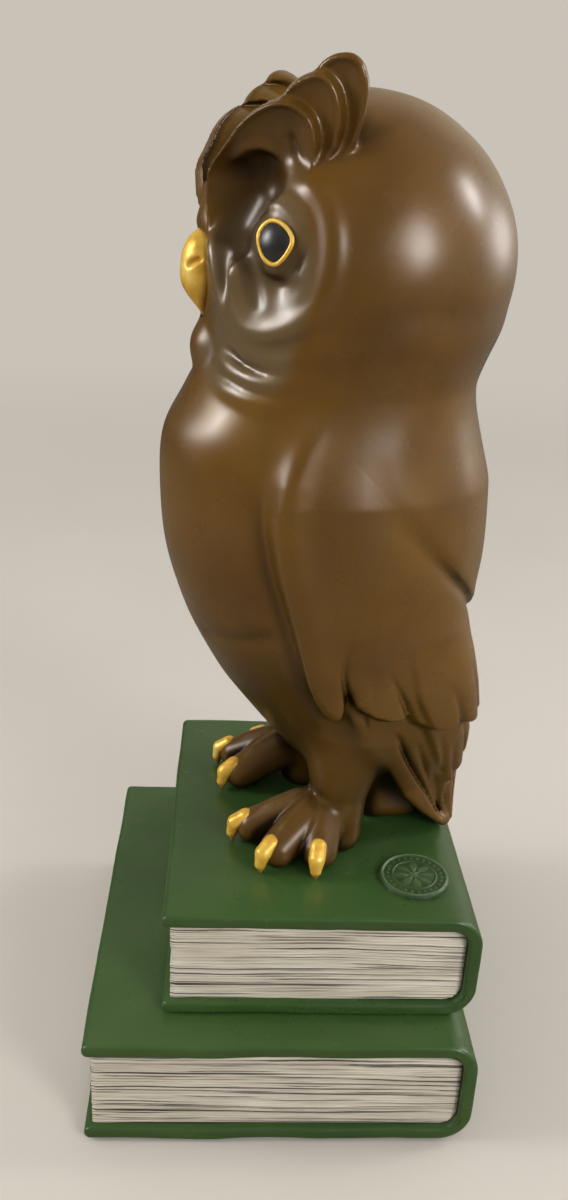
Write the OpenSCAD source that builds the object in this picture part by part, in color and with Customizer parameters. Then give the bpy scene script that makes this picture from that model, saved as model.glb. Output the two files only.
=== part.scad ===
// Owl bookend: a hollow cast owl standing on two stacked cast books.
// Millimetres, +Z up. The origin is the centre of the felt face that rests on the shelf.
// The owl looks towards -Y, and the books' spines at +Y bear against the row of books.

/* [Books] */
// Length of the lower book, along its spine
lower_w = 141; // [134:1:160]
// Depth of the lower book, fore-edge to spine
lower_d = 120; // [117:1:140]
// Thickness of the lower book
lower_h = 37.3; // [34:0.1:42]
// Length of the upper book, along its spine
upper_w = 120; // [114:1:130]
// Depth of the upper book, fore-edge to spine
upper_d = 97; // [94:1:110]
// Thickness of the upper book
upper_h = 36.5; // [34:0.1:42]
// Sideways offset of the upper book on the lower one
upper_x = -3; // [-6:0.5:3]
// Thickness of a book board
board_t = 4.2; // [3.5:0.1:5]
// Outer radius of a spine's long edges
spine_r = 10; // [9:0.5:14]
// How far the pages sit in behind the edges of the boards
page_inset = 3; // [2:0.5:4]
// Thickness of the felt under the lower book
felt_t = 1; // [0.8:0.1:2]

/* [Owl] */
// Turn of the owl about the vertical, towards its left
owl_yaw = 10; // [6:1:12]
// Wall thickness of the body casting
wall = 6; // [5:0.5:7]
// Thickness of a wing at its middle
wing_t = 4.5; // [3.5:0.5:5]
// Radius of the round head
head_r = 44.5; // [44:0.5:45]
// Half width of the gap between the legs' centres
leg_x = 20; // [19:0.5:21]
// Radius of an eye
eye_r = 6.2; // [5:0.1:6.5]

/* [Fasteners] */
// Nominal diameter of the tie studs
stud_d = 6; // [5:1:6]
// Diameter of the clearance holes for the studs
stud_hole_d = 6.6; // [6.4:0.1:7]
// Diameter of the small locating pins
pin_d = 4; // [3:0.5:4]
// Play between neighbouring castings
gap = 0.2; // [0.1:0.05:0.3]

/* [Hidden] */
$fn = 48;

back_y = 60;                                  // the plane of both spines
lower_top = felt_t + lower_h;                 // top of the lower book
cover_z = lower_top + upper_h;                // the cover that the owl stands on
owl_x = -3;
owl_y = 10;

washer_t = 1.6;
nut_t = 5;
nut_af = 10;                                  // across the nut's flats
counterbore_r = 8;
counterbore_z = felt_t + 0.4 + nut_t + washer_t;
boss_r = 12;
boss_top = counterbore_z + 4;
sleeve_r = 8;
rib_t = 5;
page_wall = 5;

shank_top = 20;                               // heights from here on are above the cover
stud_top = 34;
floor_z = 40;                                 // inside floor of the body
body_z = 16;                                  // underside of the body
head_z = 181;
head_y = 4;

// Body sections as [height, front, back, half width], plain of wings and tail
core = [
    [16, -2, 24, 17], [28, -13, 29, 22], [41, -22, 33, 27], [59, -34, 38, 33], [80, -44, 42, 37.5],
    [100, -50, 44.5, 39.5], [119, -51, 44.5, 39.5], [134, -50, 43.5, 39.5], [146, -43, 43, 40],
    [158, -38, 45, 42], [170, -39, 48, 44], [head_z, head_y - head_r, head_y + head_r, head_r]
];
// Inside of the tail as [height, back, half width]
tail_core = [[0, 36, 17], [16, 33, 20], [28, 33, 23], [41, 35, 28], [59, 39, 34]];
tail_y = 8;
// Edges of a wing over the angle from the breast, as [angle, height]
wing_low = [
    [62, 116], [66, 95], [70, 70], [75, 55], [80, 53], [88, 59], [97, 54], [111, 50], [135, 46], [165, 50]
];
wing_high = [[62, 120], [66, 138], [75, 146], [100, 146], [135, 136], [165, 112]];
wing_span = [62, 165];
// Lower edge of the tail over the same angle, right half mirrored from the left
tail_low = [[85, 47], [130, 22], [142, 0.3], [180, 0.3]];

toe_tips = [[-4, -30], [14, -25], [21, -8]];  // talon tips from the leg's centre
toe_r = 6.5;
eye_dir = [32, -30, 7];                       // from the head's centre
socket_depth = 4.2;
tuft_dir = [21, -22.6, 29.5];
beak_face = -37;                              // flat seat of the beak
seal_pos = [36, 41];
seal_r = 11;

// ---- helpers ----

function column(table, k) = [for (row = table) [row[0], row[k]]];
function eased(z, table, k) = (lookup(z - 5, column(table, k)) + 2 * lookup(z, column(table, k))
    + lookup(z + 5, column(table, k))) / 4;
function dome(z, grow) = sqrt(max(0.25, pow(head_r + grow, 2) - pow(z - head_z, 2)));

// A point of the body's skin at height z, u degrees round from the breast, moved out by grow
function skin(z, u, grow) = z > head_z
    ? [dome(z, grow) * sin(u), head_y - dome(z, grow) * cos(u), z]
    : let (front = eased(z, core, 1), back = eased(z, core, 2), half = eased(z, core, 3))
        [(half + grow) * sin(u), (front + back) / 2 - ((back - front) / 2 + grow) * cos(u), z];

// A sine or cosine pushed towards its limits
function squared(v) = sign(v) * pow(abs(v), 0.6);

// A point of the tail at height z, u degrees round, squarer than an ellipse
function tail_skin(z, u, grow) =
    let (depth = lookup(z, column(tail_core, 1)) - tail_y + grow,
        half = lookup(z, column(tail_core, 2)) + grow)
        [half * squared(sin(u)), tail_y - depth * squared(cos(u)), z];

// A point of the leg stud's axis in the part's frame
function leg(side) = [owl_x + side * leg_x * cos(owl_yaw), owl_y + side * leg_x * sin(owl_yaw)];

// Skins closed rings of points, all of one length, into a solid
module loft(rings, strip_caps = false) {
    n = len(rings[0]);
    m = len(rings);
    sides = [for (i = [0 : m - 2], j = [0 : n - 1]) let (a = i * n + j, b = i * n + (j + 1) % n)
        each [[a, b, b + n], [a, b + n, a + n]]];
    start = strip_caps
        ? [for (j = [0 : n / 2 - 2]) each [[j, n - 1 - j, j + 1], [j + 1, n - 1 - j, n - 2 - j]]]
        : [[for (j = [n - 1 : -1 : 0]) j]];
    end = [for (f = start) [for (k = [len(f) - 1 : -1 : 0]) f[k] + (m - 1) * n]];
    polyhedron(points = [for (r = rings) each r], faces = concat(sides, start, end), convexity = 6);
}

// The body as a loft from z0 up over the head
module body_loft(z0, grow, steps, segments) {
    levels = concat(
        [for (i = [0 : steps - 1]) z0 + (head_z - z0) * i / steps],
        [for (a = [0 : 90 / (steps / 3) : 80]) head_z + (head_r + grow) * sin(a)],
        [head_z + head_r + grow - 0.05]
    );
    loft([for (z = levels) [for (j = [0 : segments - 1]) skin(z, -360 * j / segments, grow)]]);
}

module owl_frame() {
    translate([owl_x, owl_y, cover_z]) rotate([0, 0, owl_yaw]) children();
}

module aim(direction) {
    length = norm(direction);
    rotate([0, acos(direction[2] / length), atan2(direction[1], direction[0])]) children();
}

module from_head(direction) {
    translate([0, head_y, head_z]) aim(direction) children();
}

// Round columns, solids or holes, on both stud axes
module stud_columns(r, z0, z1) {
    for (side = [-1, 1]) translate([leg(side)[0], leg(side)[1], z0]) cylinder(r = r, h = z1 - z0);
}

// ---- books ----

// Side outline of a book: square at the fore-edge, rounded at the spine
module book_outline(d, h, r, fore) {
    translate([fore, 0]) square([d - fore - r, h]);
    translate([d - r, r]) square([r, h - 2 * r]);
    for (y = [r, h - r]) translate([d - r, y]) circle(r = r);
}

// Extrudes a side outline along the spine, centred on x
module along_spine(w) {
    translate([-w / 2, 0, 0]) rotate([90, 0, 90]) linear_extrude(w) children();
}

module book_case(w, d, h) {
    inner_r = spine_r - board_t;
    along_spine(w) difference() {
        book_outline(d, h, spine_r, 0);
        translate([0, board_t]) book_outline(d - board_t, h - 2 * board_t, inner_r, -1);
    }
}

// A ring of pages round a hollow, with a rib that carries two stud sleeves
module page_block(w, d, h, x, floor_clear) {
    inner_r = spine_r - board_t - gap;
    block_w = w - 2 * page_inset;
    block_d = d - board_t - gap;
    block_h = h - 2 * board_t - 2 * gap;
    y0 = back_y - d;
    difference() {
        translate([x, y0, board_t + gap]) along_spine(block_w)
            book_outline(block_d, block_h, inner_r, page_inset);
        difference() {
            translate([x - block_w / 2 + page_wall, y0 + page_inset + page_wall, 0])
                cube([block_w - 2 * page_wall, block_d - page_inset - 2 * page_wall, h]);
            translate([x - w / 2, owl_y - rib_t / 2, board_t + floor_clear])
                cube([w, rib_t, h]);
            for (side = [-1, 1]) translate([leg(side)[0], leg(side)[1], board_t + floor_clear])
                cylinder(r = sleeve_r, h = h);
        }
        for (side = [-1, 1]) translate([leg(side)[0], leg(side)[1], 0]) cylinder(d = stud_hole_d, h = h);
    }
}

// Felt over the flat of the lower board, short of the spine's curve
module felt_pad() {
    pad_r = 6;
    inset = 2 + pad_r;
    corners_x = [inset - lower_w / 2, lower_w / 2 - inset];
    corners_y = [back_y - lower_d + inset, back_y - spine_r - pad_r];
    color("darkolivegreen") hull()
        for (x = corners_x, y = corners_y) translate([x, y, 0]) cylinder(r = pad_r, h = felt_t, $fn = 32);
}

module lower_book_case() {
    color("forestgreen") difference() {
        union() {
            translate([0, back_y - lower_d, felt_t]) book_case(lower_w, lower_d, lower_h);
            stud_columns(boss_r, felt_t, boss_top);
        }
        stud_columns(counterbore_r, felt_t - 1, counterbore_z);
        stud_columns(stud_hole_d / 2, felt_t, lower_top + 1);
    }
}

module lower_page_block() {
    color("antiquewhite") translate([0, 0, felt_t])
        page_block(lower_w, lower_d, lower_h, 0, boss_top - felt_t - board_t + gap);
}

module upper_book_case() {
    color("forestgreen") difference() {
        translate([upper_x, back_y - upper_d, lower_top]) book_case(upper_w, upper_d, upper_h);
        stud_columns(stud_hole_d / 2, lower_top - 1, cover_z + 1);
        translate([seal_pos[0], seal_pos[1], cover_z - board_t / 2]) cylinder(d = pin_d, h = board_t);
    }
}

module upper_page_block() {
    color("antiquewhite") translate([0, 0, lower_top]) page_block(upper_w, upper_d, upper_h, upper_x, gap);
}

// A disc with a raised rim and a plain rosette, on one short spigot
module foundry_seal() {
    petals = 8;
    disc_t = 1;
    relief = 0.6;
    color("forestgreen") translate([seal_pos[0], seal_pos[1], cover_z]) {
        cylinder(r = seal_r, h = disc_t);
        translate([0, 0, disc_t]) difference() {
            cylinder(r = seal_r, h = relief);
            translate([0, 0, -1]) cylinder(r = seal_r - 1.2, h = relief + 2);
        }
        translate([0, 0, disc_t]) cylinder(r = 2.2, h = relief);
        for (k = [0 : petals - 1])
            rotate([0, 0, 360 * k / petals]) translate([5.4, 0, disc_t]) cylinder(r = 1.5, h = relief);
        translate([0, 0, -board_t / 2 + gap]) cylinder(d = pin_d - gap, h = board_t / 2);
    }
}

// ---- tie hardware ----

module tie_studs() {
    color("silver") stud_columns(stud_d / 2, felt_t + 0.4, cover_z + stud_top - 1);
}

module stud_washers() {
    color("silver") difference() {
        stud_columns(stud_d, counterbore_z - washer_t, counterbore_z);
        stud_columns(stud_hole_d / 2, 0, counterbore_z + 1);
    }
}

module stud_nuts() {
    nut_z = counterbore_z - washer_t - nut_t;
    color("silver") difference() {
        for (side = [-1, 1]) translate([leg(side)[0], leg(side)[1], nut_z])
            cylinder(r = nut_af / 2 / cos(30), h = nut_t, $fn = 6);
        stud_columns(stud_d / 2 + 0.05, 0, nut_z + nut_t + 1);
    }
}

// ---- owl ----

module leg_stumps() {
    for (side = [-1, 1]) translate([side * leg_x, 0, shank_top + gap])
        cylinder(r1 = 11, r2 = 13.5, h = 24);
}

// A locating pin, or with play its hole, from z0 to z1 along its axis
module pin(z0, z1, play = 0) {
    translate([0, 0, z0]) cylinder(d = pin_d - 0.1 + play, h = z1 - z0);
}

// Places a child on the body's skin at each wing pin, pointing outwards
module at_wing_pins() {
    for (side = [-1, 1], z = [82, 115])
        translate([side * skin(z, 90, 0)[0], 0, z]) rotate([0, side * 90, 0]) children();
}

module at_tail_pins() {
    for (side = [-1, 1]) translate([side * 9, 32, 44]) rotate([-90, 0, 0]) children();
}

module at_tuft_pins() {
    for (side = [-1, 1]) from_head([side * tuft_dir[0], tuft_dir[1], tuft_dir[2]])
        translate([0, 0, head_r]) children();
}

module owl_body() {
    color("saddlebrown") owl_frame() difference() {
        union() {
            body_loft(body_z, 0, 33, 40);
            leg_stumps();
        }
        body_loft(floor_z, -wall, 18, 28);
        for (side = [-1, 1]) {
            translate([side * leg_x, 0, shank_top]) cylinder(d = stud_d + 0.1, h = stud_top - shank_top);
            from_head([side * eye_dir[0], eye_dir[1], eye_dir[2]])
                translate([0, 0, head_r - socket_depth]) cylinder(r = eye_r + 1 + gap, h = 3 * socket_depth);
        }
        translate([-9, -60, 164]) cube([18, 60 + beak_face, 27]);
        translate([0, beak_face - 1, 178]) rotate([-90, 0, 0]) cylinder(d = pin_d, h = wall + 2);
        at_wing_pins() pin(-wall - 2, 3, 0.1);
        at_tail_pins() pin(-wall - 2, 3, 0.1);
        at_tuft_pins() pin(-wall - 2, 3, 0.1);
    }
}

// One wing as a shell over the skin: thick in the middle, thin at its edges, with a feathered lower edge
module wing() {
    across = 20;
    up = 12;
    rings = [for (i = [0 : across])
        let (s = i / across, u = wing_span[0] + (wing_span[1] - wing_span[0]) * s,
            low = lookup(u, wing_low) - (u > 88 ? 2.5 * abs(sin((u - 88) * 9)) : 0),
            high = lookup(u, wing_high),
            height = function (v) low + (high - low) * v,
            thick = function (v) 1 + (wing_t - 1) * pow(max(0, 16 * v * (1 - v) * s * (1 - s)), 0.35))
        concat(
            [for (j = [0 : up]) skin(height(j / up), u, gap + thick(j / up))],
            [for (j = [up : -1 : 0]) skin(height(j / up), u, gap)]
        )];
    loft(rings, strip_caps = true);
}

module wing_left() {
    color("sienna") owl_frame() difference() {
        wing();
        at_wing_pins() pin(-1, 2.9, 0.1);
    }
}

module wing_right() {
    color("sienna") owl_frame() difference() {
        mirror([1, 0, 0]) wing();
        at_wing_pins() pin(-1, 2.9, 0.1);
    }
}

module wing_pins() {
    color("silver") owl_frame() at_wing_pins() pin(-wall, 2.7);
}

// The tail as a tapering skirt of long feathers round the back of the body
module tail() {
    across = 36;
    up = 10;
    rings = [for (i = [0 : across])
        let (u = 85 + 190 * i / across, near = u > 180 ? 360 - u : u,
            low = lookup(near, tail_low), high = lookup(min(near, 165), wing_low) - 3,
            height = function (v) low + (high - low) * v,
            thick = function (v) 9.5 - 5 * pow(height(v) / 50, 2) - 0.8 * abs(sin(u * 9)))
        concat(
            [for (j = [0 : up]) tail_skin(height(j / up), u, thick(j / up))],
            [for (j = [up : -1 : 0]) tail_skin(height(j / up), u, 0)]
        )];
    color("sienna") owl_frame() difference() {
        loft(rings, strip_caps = true);
        at_tail_pins() pin(0, 7.5, 0.1);
    }
}

module tail_pins() {
    color("silver") owl_frame() at_tail_pins() pin(-wall, 7);
}

// A foot round its own leg axis: three knuckled toes and a bored shank
module foot() {
    color("saddlebrown") difference() {
        union() {
            cylinder(r1 = 13, r2 = 11, h = shank_top);
            for (tip = toe_tips) toe(tip);
        }
        translate([0, 0, -1]) cylinder(d = stud_hole_d, h = shank_top + 2);
        translate([-50, -50, -20]) cube([100, 100, 20]);
    }
}

module toe(tip) {
    reach = norm(tip) - 12;
    rotate([0, 0, atan2(tip[1], tip[0])]) {
        hull() {
            translate([2, 0, 12]) sphere(r = toe_r, $fn = 18);
            translate([reach - 6, 0, 8]) sphere(r = toe_r, $fn = 18);
        }
        hull() {
            translate([reach - 6, 0, 8]) sphere(r = toe_r, $fn = 18);
            translate([reach, 0, 5.5]) sphere(r = toe_r - 0.8, $fn = 18);
        }
    }
}

// Three talons that hook down in front of the toes to the cover
module talons() {
    color("gold") for (tip = toe_tips) {
        reach = norm(tip);
        rotate([0, 0, atan2(tip[1], tip[0])]) hull() {
            translate([reach - 2.7, 0, 9.5]) sphere(r = 2.7, $fn = 18);
            translate([reach - 0.8, 0, 5.5]) sphere(r = 2.2, $fn = 18);
            translate([reach - 0.7, 0, 0.8]) sphere(r = 0.7, $fn = 14);
        }
    }
}

module foot_left() {
    owl_frame() translate([leg_x, 0, 0]) foot();
}

module foot_right() {
    owl_frame() mirror([1, 0, 0]) translate([leg_x, 0, 0]) foot();
}

module talons_left() {
    owl_frame() translate([leg_x, 0, 0]) talons();
}

module talons_right() {
    owl_frame() mirror([1, 0, 0]) translate([leg_x, 0, 0]) talons();
}

// A brow that sweeps from the beak up and out to the ear tip, as four overlapping feathers
module brow_tuft() {
    beads = [
        [[7, -38.5, 194, 3.5], [12.5, -35.5, 207.5, 4.5]],
        [[12.5, -35.5, 207.5, 4.5], [25.5, -23.5, 218, 4.5], [29.5, -13.5, 209, 4]],
        [[25.5, -23.5, 218, 4.5], [33, -16.5, 222.5, 4], [32, -8.5, 213, 3.5]],
        [[33, -16.5, 222.5, 4], [41, -11, 228.5, 3], [33, -4, 217, 3]]
    ];
    difference() {
        for (feather = beads) hull()
            for (b = feather) translate([b[0], b[1], b[2]]) sphere(r = b[3], $fn = 20);
        translate([0, head_y, head_z]) sphere(r = head_r + gap);
    }
}

module brow_tuft_left() {
    color("saddlebrown") owl_frame() difference() {
        brow_tuft();
        at_tuft_pins() pin(-1, 4.3, 0.1);
    }
}

module brow_tuft_right() {
    color("saddlebrown") owl_frame() difference() {
        mirror([1, 0, 0]) brow_tuft();
        at_tuft_pins() pin(-1, 4.3, 0.1);
    }
}

module tuft_pins() {
    color("silver") owl_frame() at_tuft_pins() pin(-wall, 4);
}

// A short hooked beak with a flat back and a locating spigot
module beak() {
    color("gold") owl_frame() {
        difference() {
            hull() {
                translate([0, beak_face, 187]) scale([1, 0.6, 1]) sphere(r = 3, $fn = 24);
                translate([0, -40, 181]) scale([1.2, 0.9, 1]) sphere(r = 6, $fn = 28);
                translate([0, -41.5, 174]) scale([1, 0.7, 1]) sphere(r = 4.6, $fn = 24);
                translate([0, -38.5, 166.5]) sphere(r = 1.2, $fn = 20);
            }
            translate([-20, beak_face - gap, 150]) cube([40, 20, 60]);
        }
        translate([0, beak_face - 1, 178]) rotate([-90, 0, 0]) cylinder(d = pin_d - 0.2, h = 5);
    }
}

// The gilt ring round an eye, seated in its socket
module eye_rim(side) {
    color("gold") owl_frame() from_head([side * eye_dir[0], eye_dir[1], eye_dir[2]])
        translate([0, 0, head_r - 0.4]) rotate_extrude() translate([eye_r, 0]) circle(r = 1, $fn = 24);
}

// A dark polished dome behind the ring
module eye(side) {
    dome_h = 3.4;
    dome_r = (pow(eye_r, 2) + pow(dome_h, 2)) / (2 * dome_h);
    color("dimgray") owl_frame() from_head([side * eye_dir[0], eye_dir[1], eye_dir[2]])
        translate([0, 0, head_r - socket_depth]) intersection() {
            translate([0, 0, socket_depth + 0.6 - dome_r]) sphere(r = dome_r);
            cylinder(r = eye_r - 1 - gap, h = socket_depth + 2);
        }
}

module eye_rim_left() eye_rim(1);

module eye_rim_right() eye_rim(-1);

module eye_left() eye(1);

module eye_right() eye(-1);

felt_pad();
lower_book_case();
lower_page_block();
upper_book_case();
upper_page_block();
foundry_seal();
tie_studs();
stud_washers();
stud_nuts();
owl_body();
wing_left();
wing_right();
wing_pins();
tail();
tail_pins();
foot_left();
foot_right();
talons_left();
talons_right();
brow_tuft_left();
brow_tuft_right();
tuft_pins();
beak();
eye_rim_left();
eye_rim_right();
eye_left();
eye_right();
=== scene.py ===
"""Looks of the owl bookend: sculpted castings, pages, enamel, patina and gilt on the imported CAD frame."""

import math

import bmesh
import bpy
import numpy as np
import openvdb as vdb
from mathutils import Matrix, Vector


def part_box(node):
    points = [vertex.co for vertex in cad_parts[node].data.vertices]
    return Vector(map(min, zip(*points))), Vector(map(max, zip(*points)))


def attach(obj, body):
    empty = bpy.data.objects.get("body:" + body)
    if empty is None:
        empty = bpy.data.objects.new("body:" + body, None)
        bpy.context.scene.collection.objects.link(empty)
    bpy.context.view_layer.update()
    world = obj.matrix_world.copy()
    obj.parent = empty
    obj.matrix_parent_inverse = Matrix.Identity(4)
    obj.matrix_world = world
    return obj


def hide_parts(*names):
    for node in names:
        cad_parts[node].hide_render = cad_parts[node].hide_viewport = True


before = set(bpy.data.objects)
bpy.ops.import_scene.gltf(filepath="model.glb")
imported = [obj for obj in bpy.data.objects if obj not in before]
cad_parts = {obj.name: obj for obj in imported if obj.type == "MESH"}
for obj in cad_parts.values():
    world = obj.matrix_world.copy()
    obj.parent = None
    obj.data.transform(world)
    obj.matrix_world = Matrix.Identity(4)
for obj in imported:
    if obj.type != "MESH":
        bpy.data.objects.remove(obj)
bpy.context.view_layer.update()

MM = 0.001

# ---------------------------------------------------------------- sizes read from the frame

STUD_R = 3.0  # radius of the tie studs, which stand in the middle of the owl's legs


def box_mm(node):
    """A CAD node's lowest and highest corners in millimetres."""
    return [np.array(corner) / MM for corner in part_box(node)]


LOWER = box_mm("lower_book_case")
UPPER = box_mm("upper_book_case")
LOWER_PAGES = box_mm("lower_page_block")
UPPER_PAGES = box_mm("upper_page_block")
SEAL = box_mm("foundry_seal")
FELT = box_mm("felt_pad")
COVER_Z = UPPER[1][2]

stud_lo, stud_hi = box_mm("tie_studs")
stud_span = stud_hi - stud_lo - 2 * STUD_R
OWL_YAW = math.atan2(stud_span[1], stud_span[0])
LEG_X = math.hypot(stud_span[0], stud_span[1]) / 2
OWL_ORIGIN = np.array([*((stud_lo + stud_hi) / 2)[:2], COVER_Z])
TURN = np.array([
    [math.cos(OWL_YAW), -math.sin(OWL_YAW), 0],
    [math.sin(OWL_YAW), math.cos(OWL_YAW), 0],
    [0, 0, 1],
])


def from_owl(points):
    """Points of the owl's own frame (mm, facing -Y, z above the cover) in the row frame, in metres."""
    return (points @ TURN.T + OWL_ORIGIN) * MM


def to_owl(points_mm):
    """Row frame millimetres in the owl's own frame."""
    return (np.asarray(points_mm) - OWL_ORIGIN) @ TURN


# ---------------------------------------------------------------- distance field tools

def smooth_min(a, b, k):
    h = np.clip(0.5 + 0.5 * (b - a) / k, 0, 1)
    return b + (a - b) * h - k * h * (1 - h)


def smooth_max(a, b, k):
    return -smooth_min(-a, -b, k)


def step(d, width):
    """1 well inside a region, 0 well outside it, eased over its border; d is negative inside."""
    t = np.clip(0.5 - d / (2 * width), 0, 1)
    return t * t * (3 - 2 * t)


def ellipsoid(p, centre, radii):
    q = p - np.array(centre, float)
    radii = np.array(radii, float)
    k0 = np.linalg.norm(q / radii, axis=1)
    k1 = np.linalg.norm(q / radii ** 2, axis=1)
    return k0 * (k0 - 1) / np.maximum(k1, 1e-6)


def curve(points, closed=False, per=6):
    """A smooth curve through the points, as a dense polyline."""
    pts = np.array(points, float)
    if closed:
        pts = np.vstack([pts[-1], pts, pts[0], pts[1]])
    else:
        pts = np.vstack([2 * pts[0] - pts[1], pts, 2 * pts[-1] - pts[-2]])
    out = []
    for a, b, c, d in zip(pts, pts[1:], pts[2:], pts[3:]):
        for t in np.arange(per) / per:
            out.append(0.5 * (2 * b + (c - a) * t + (2 * a - 5 * b + 4 * c - d) * t * t
                              + (3 * b - a - 3 * c + d) * t ** 3))
    if not closed:
        out.append(pts[-2])
    return np.array(out)


def to_polyline(p, line):
    """Distance of each point to a polyline, and how far along it the nearest point is, 0 to 1."""
    best = np.full(len(p), 1e9)
    along = np.zeros(len(p))
    n = len(line) - 1
    for i in range(n):
        a, ab = line[i], line[i + 1] - line[i]
        t = np.clip((p - a) @ ab / max(ab @ ab, 1e-9), 0, 1)
        d = np.sum((p - a - t[:, None] * ab) ** 2, axis=1)
        closer = d < best
        best[closer] = d[closer]
        along[closer] = (i + t[closer]) / n
    return np.sqrt(best), along


def near_line(p, line, reach):
    lo, hi = line.min(0) - reach, line.max(0) + reach
    return np.where(np.all((p > lo) & (p < hi), axis=1))[0]


def crease(p, d, line, height, width, fade=0.15):
    """Raises (or with a negative height cuts) the surface softly along a line whose ends fade."""
    i = near_line(p, line, 3 * width)
    if len(i):
        r, along = to_polyline(p[i], line)
        ends = np.clip(np.minimum(along, 1 - along) / fade, 0, 1)
        ends = ends * ends * (3 - 2 * ends)
        d[i] -= height * ends * np.exp(-(r / width) ** 2)
    return d


def chain(p, points, radii):
    """A string of round cones through the points."""
    best = np.full(len(p), 1e9)
    for a, b, ra, rb in zip(points, points[1:], radii, radii[1:]):
        a, ab = np.array(a, float), np.array(b, float) - np.array(a, float)
        t = np.clip((p - a) @ ab / (ab @ ab), 0, 1)
        best = np.minimum(best, np.linalg.norm(p - a - t[:, None] * ab, axis=1) - ra - (rb - ra) * t)
    return best


def in_outline(p, outline):
    """Signed distance of 2-D points to a closed outline, negative inside."""
    best = np.full(len(p), 1e9)
    sign = np.ones(len(p))
    for a, b in zip(outline, np.roll(outline, -1, axis=0)):
        ab, ap = b - a, p - a
        t = np.clip(ap @ ab / max(ab @ ab, 1e-9), 0, 1)
        best = np.minimum(best, np.sum((ap - t[:, None] * ab) ** 2, axis=1))
        above, below = p[:, 1] >= a[1], p[:, 1] < b[1]
        left = ab[0] * ap[:, 1] > ab[1] * ap[:, 0]
        sign[(above & below & left) | (~above & ~below & ~left)] *= -1
    return sign * np.sqrt(best)


def scallops(notches, bulge):
    """Rounded feather ends between consecutive notch points, bulging to their left."""
    out = []
    for a, b in zip(notches, notches[1:]):
        a, b = np.array(a, float), np.array(b, float)
        side = np.array([-(b - a)[1], (b - a)[0]]) * -bulge
        for t in np.arange(6) / 6:
            out.append(a + (b - a) * t + side * (4 * t * (1 - t)) ** 0.6)
    return out


# ---------------------------------------------------------------- the owl's trunk and head

# Sections of the trunk: height, front, back, half width
TRUNK = np.array([
    [10, 6, 24, 13], [18, 0, 27, 18], [28, -9.5, 31, 23], [41, -20, 34, 28], [59, -33.5, 38.5, 33.5],
    [80, -44, 41, 38.5], [100, -50, 43.8, 40.5], [119, -51.3, 43.8, 40.5], [134, -50.2, 42.2, 40],
    [146, -44, 40.8, 40], [158, -38.5, 42.2, 41.5], [170, -39, 45.7, 43.5], [182, -40, 47.5, 44],
])
SECTION = curve(TRUNK, per=8)
SLOPE = np.gradient(SECTION[:, 1:], SECTION[:, 0], axis=0)
HEAD = np.array([0, 4, 181.2])
HEAD_R = 44.5
WRAP_R = 44.0  # turns an angle round the trunk into millimetres of skin


def section(z):
    return [np.interp(z, SECTION[:, 0], SECTION[:, k]) for k in (1, 2, 3)]


def wrap(q):
    """Angle round the trunk from the breast, as millimetres of skin, beside the height."""
    front, back, half = section(q[:, 2])
    u = np.arctan2(q[:, 0] / half, -(q[:, 1] - (front + back) / 2) / ((back - front) / 2))
    return np.stack([u * WRAP_R, q[:, 2]], axis=1)


def trunk(q):
    front, back, half = section(q[:, 2])
    y = q[:, 1] - (front + back) / 2
    deep = (back - front) / 2
    kx, ky = q[:, 0] / half, y / deep
    k0 = np.hypot(kx, ky)
    k1 = np.hypot(kx / half, ky / deep)
    d = k0 * (k0 - 1) / np.maximum(k1, 1e-6)
    lean = [np.interp(q[:, 2], SECTION[:, 0], SLOPE[:, k]) for k in range(3)]
    weight = (ky / np.maximum(k0, 1e-6)) ** 2
    tilt = weight * np.where(y < 0, lean[0], lean[1]) + (1 - weight) * lean[2]
    d = d / np.sqrt(1 + tilt ** 2)
    d = smooth_max(d, q[:, 2] - 170, 8)
    d = smooth_max(d, 14 - q[:, 2], 6)
    head = np.linalg.norm(q - HEAD, axis=1) - HEAD_R
    return smooth_min(d, head, 5)


# ---------------------------------------------------------------- wings, mantle and tail

def skin_points(rows):
    """Points given as (degrees from the breast, height) in millimetres of skin."""
    return [(math.radians(u) * WRAP_R, z) for u, z in rows]


WING_FRONT = [(77, 160), (68.5, 150), (66.5, 138), (64, 126), (63.5, 116), (65.4, 105), (68.4, 91),
              (70.4, 78), (71.4, 65), (73.6, 56.6), (78.2, 52.8), (83.4, 55), (87, 63)]
WING_NOTCHES = [(87, 63), (115, 53), (136, 49), (149, 48), (161, 50), (171, 59)]
WING_REAR = [(173, 68), (180, 76), (190, 90), (190, 160)]
WING_SLITS = [
    [(87, 62), (86.5, 72), (91, 88)],
    [(115, 52), (110, 61), (103, 72)],
    [(136, 48), (133, 54), (127, 64)],
    [(149, 47), (146, 56), (139, 68)],
    [(161, 49), (158, 58), (151, 71)],
]
# Height of the mantle's edge by degrees from the breast
MANTLE_EDGE = np.array([(0, 175), (64, 153), (80, 141.5), (90, 134), (98, 127), (106, 118.5), (114, 111),
                        (123, 104), (131, 98), (145, 89), (160, 81), (172, 76), (180, 74.5)])


def wing_outline():
    """Front edge, feather ends and rear edge of a wing; above, it runs out into the shoulder."""
    front = curve(skin_points(WING_FRONT))
    ends = scallops(skin_points(WING_NOTCHES), 0.2)
    rear = skin_points([WING_NOTCHES[-1]] + WING_REAR)
    return np.vstack([front[:-1], ends, rear])


WING_OUTLINE = wing_outline()


def wing_border(q):
    """Signed distance over the skin to the wing's border."""
    d = np.full(len(q), 60.0)
    i = np.where((q[:, 2] > 30) & (q[:, 2] < 170))[0]
    d[i] = in_outline(wrap(q[i]), WING_OUTLINE)
    return d


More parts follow.
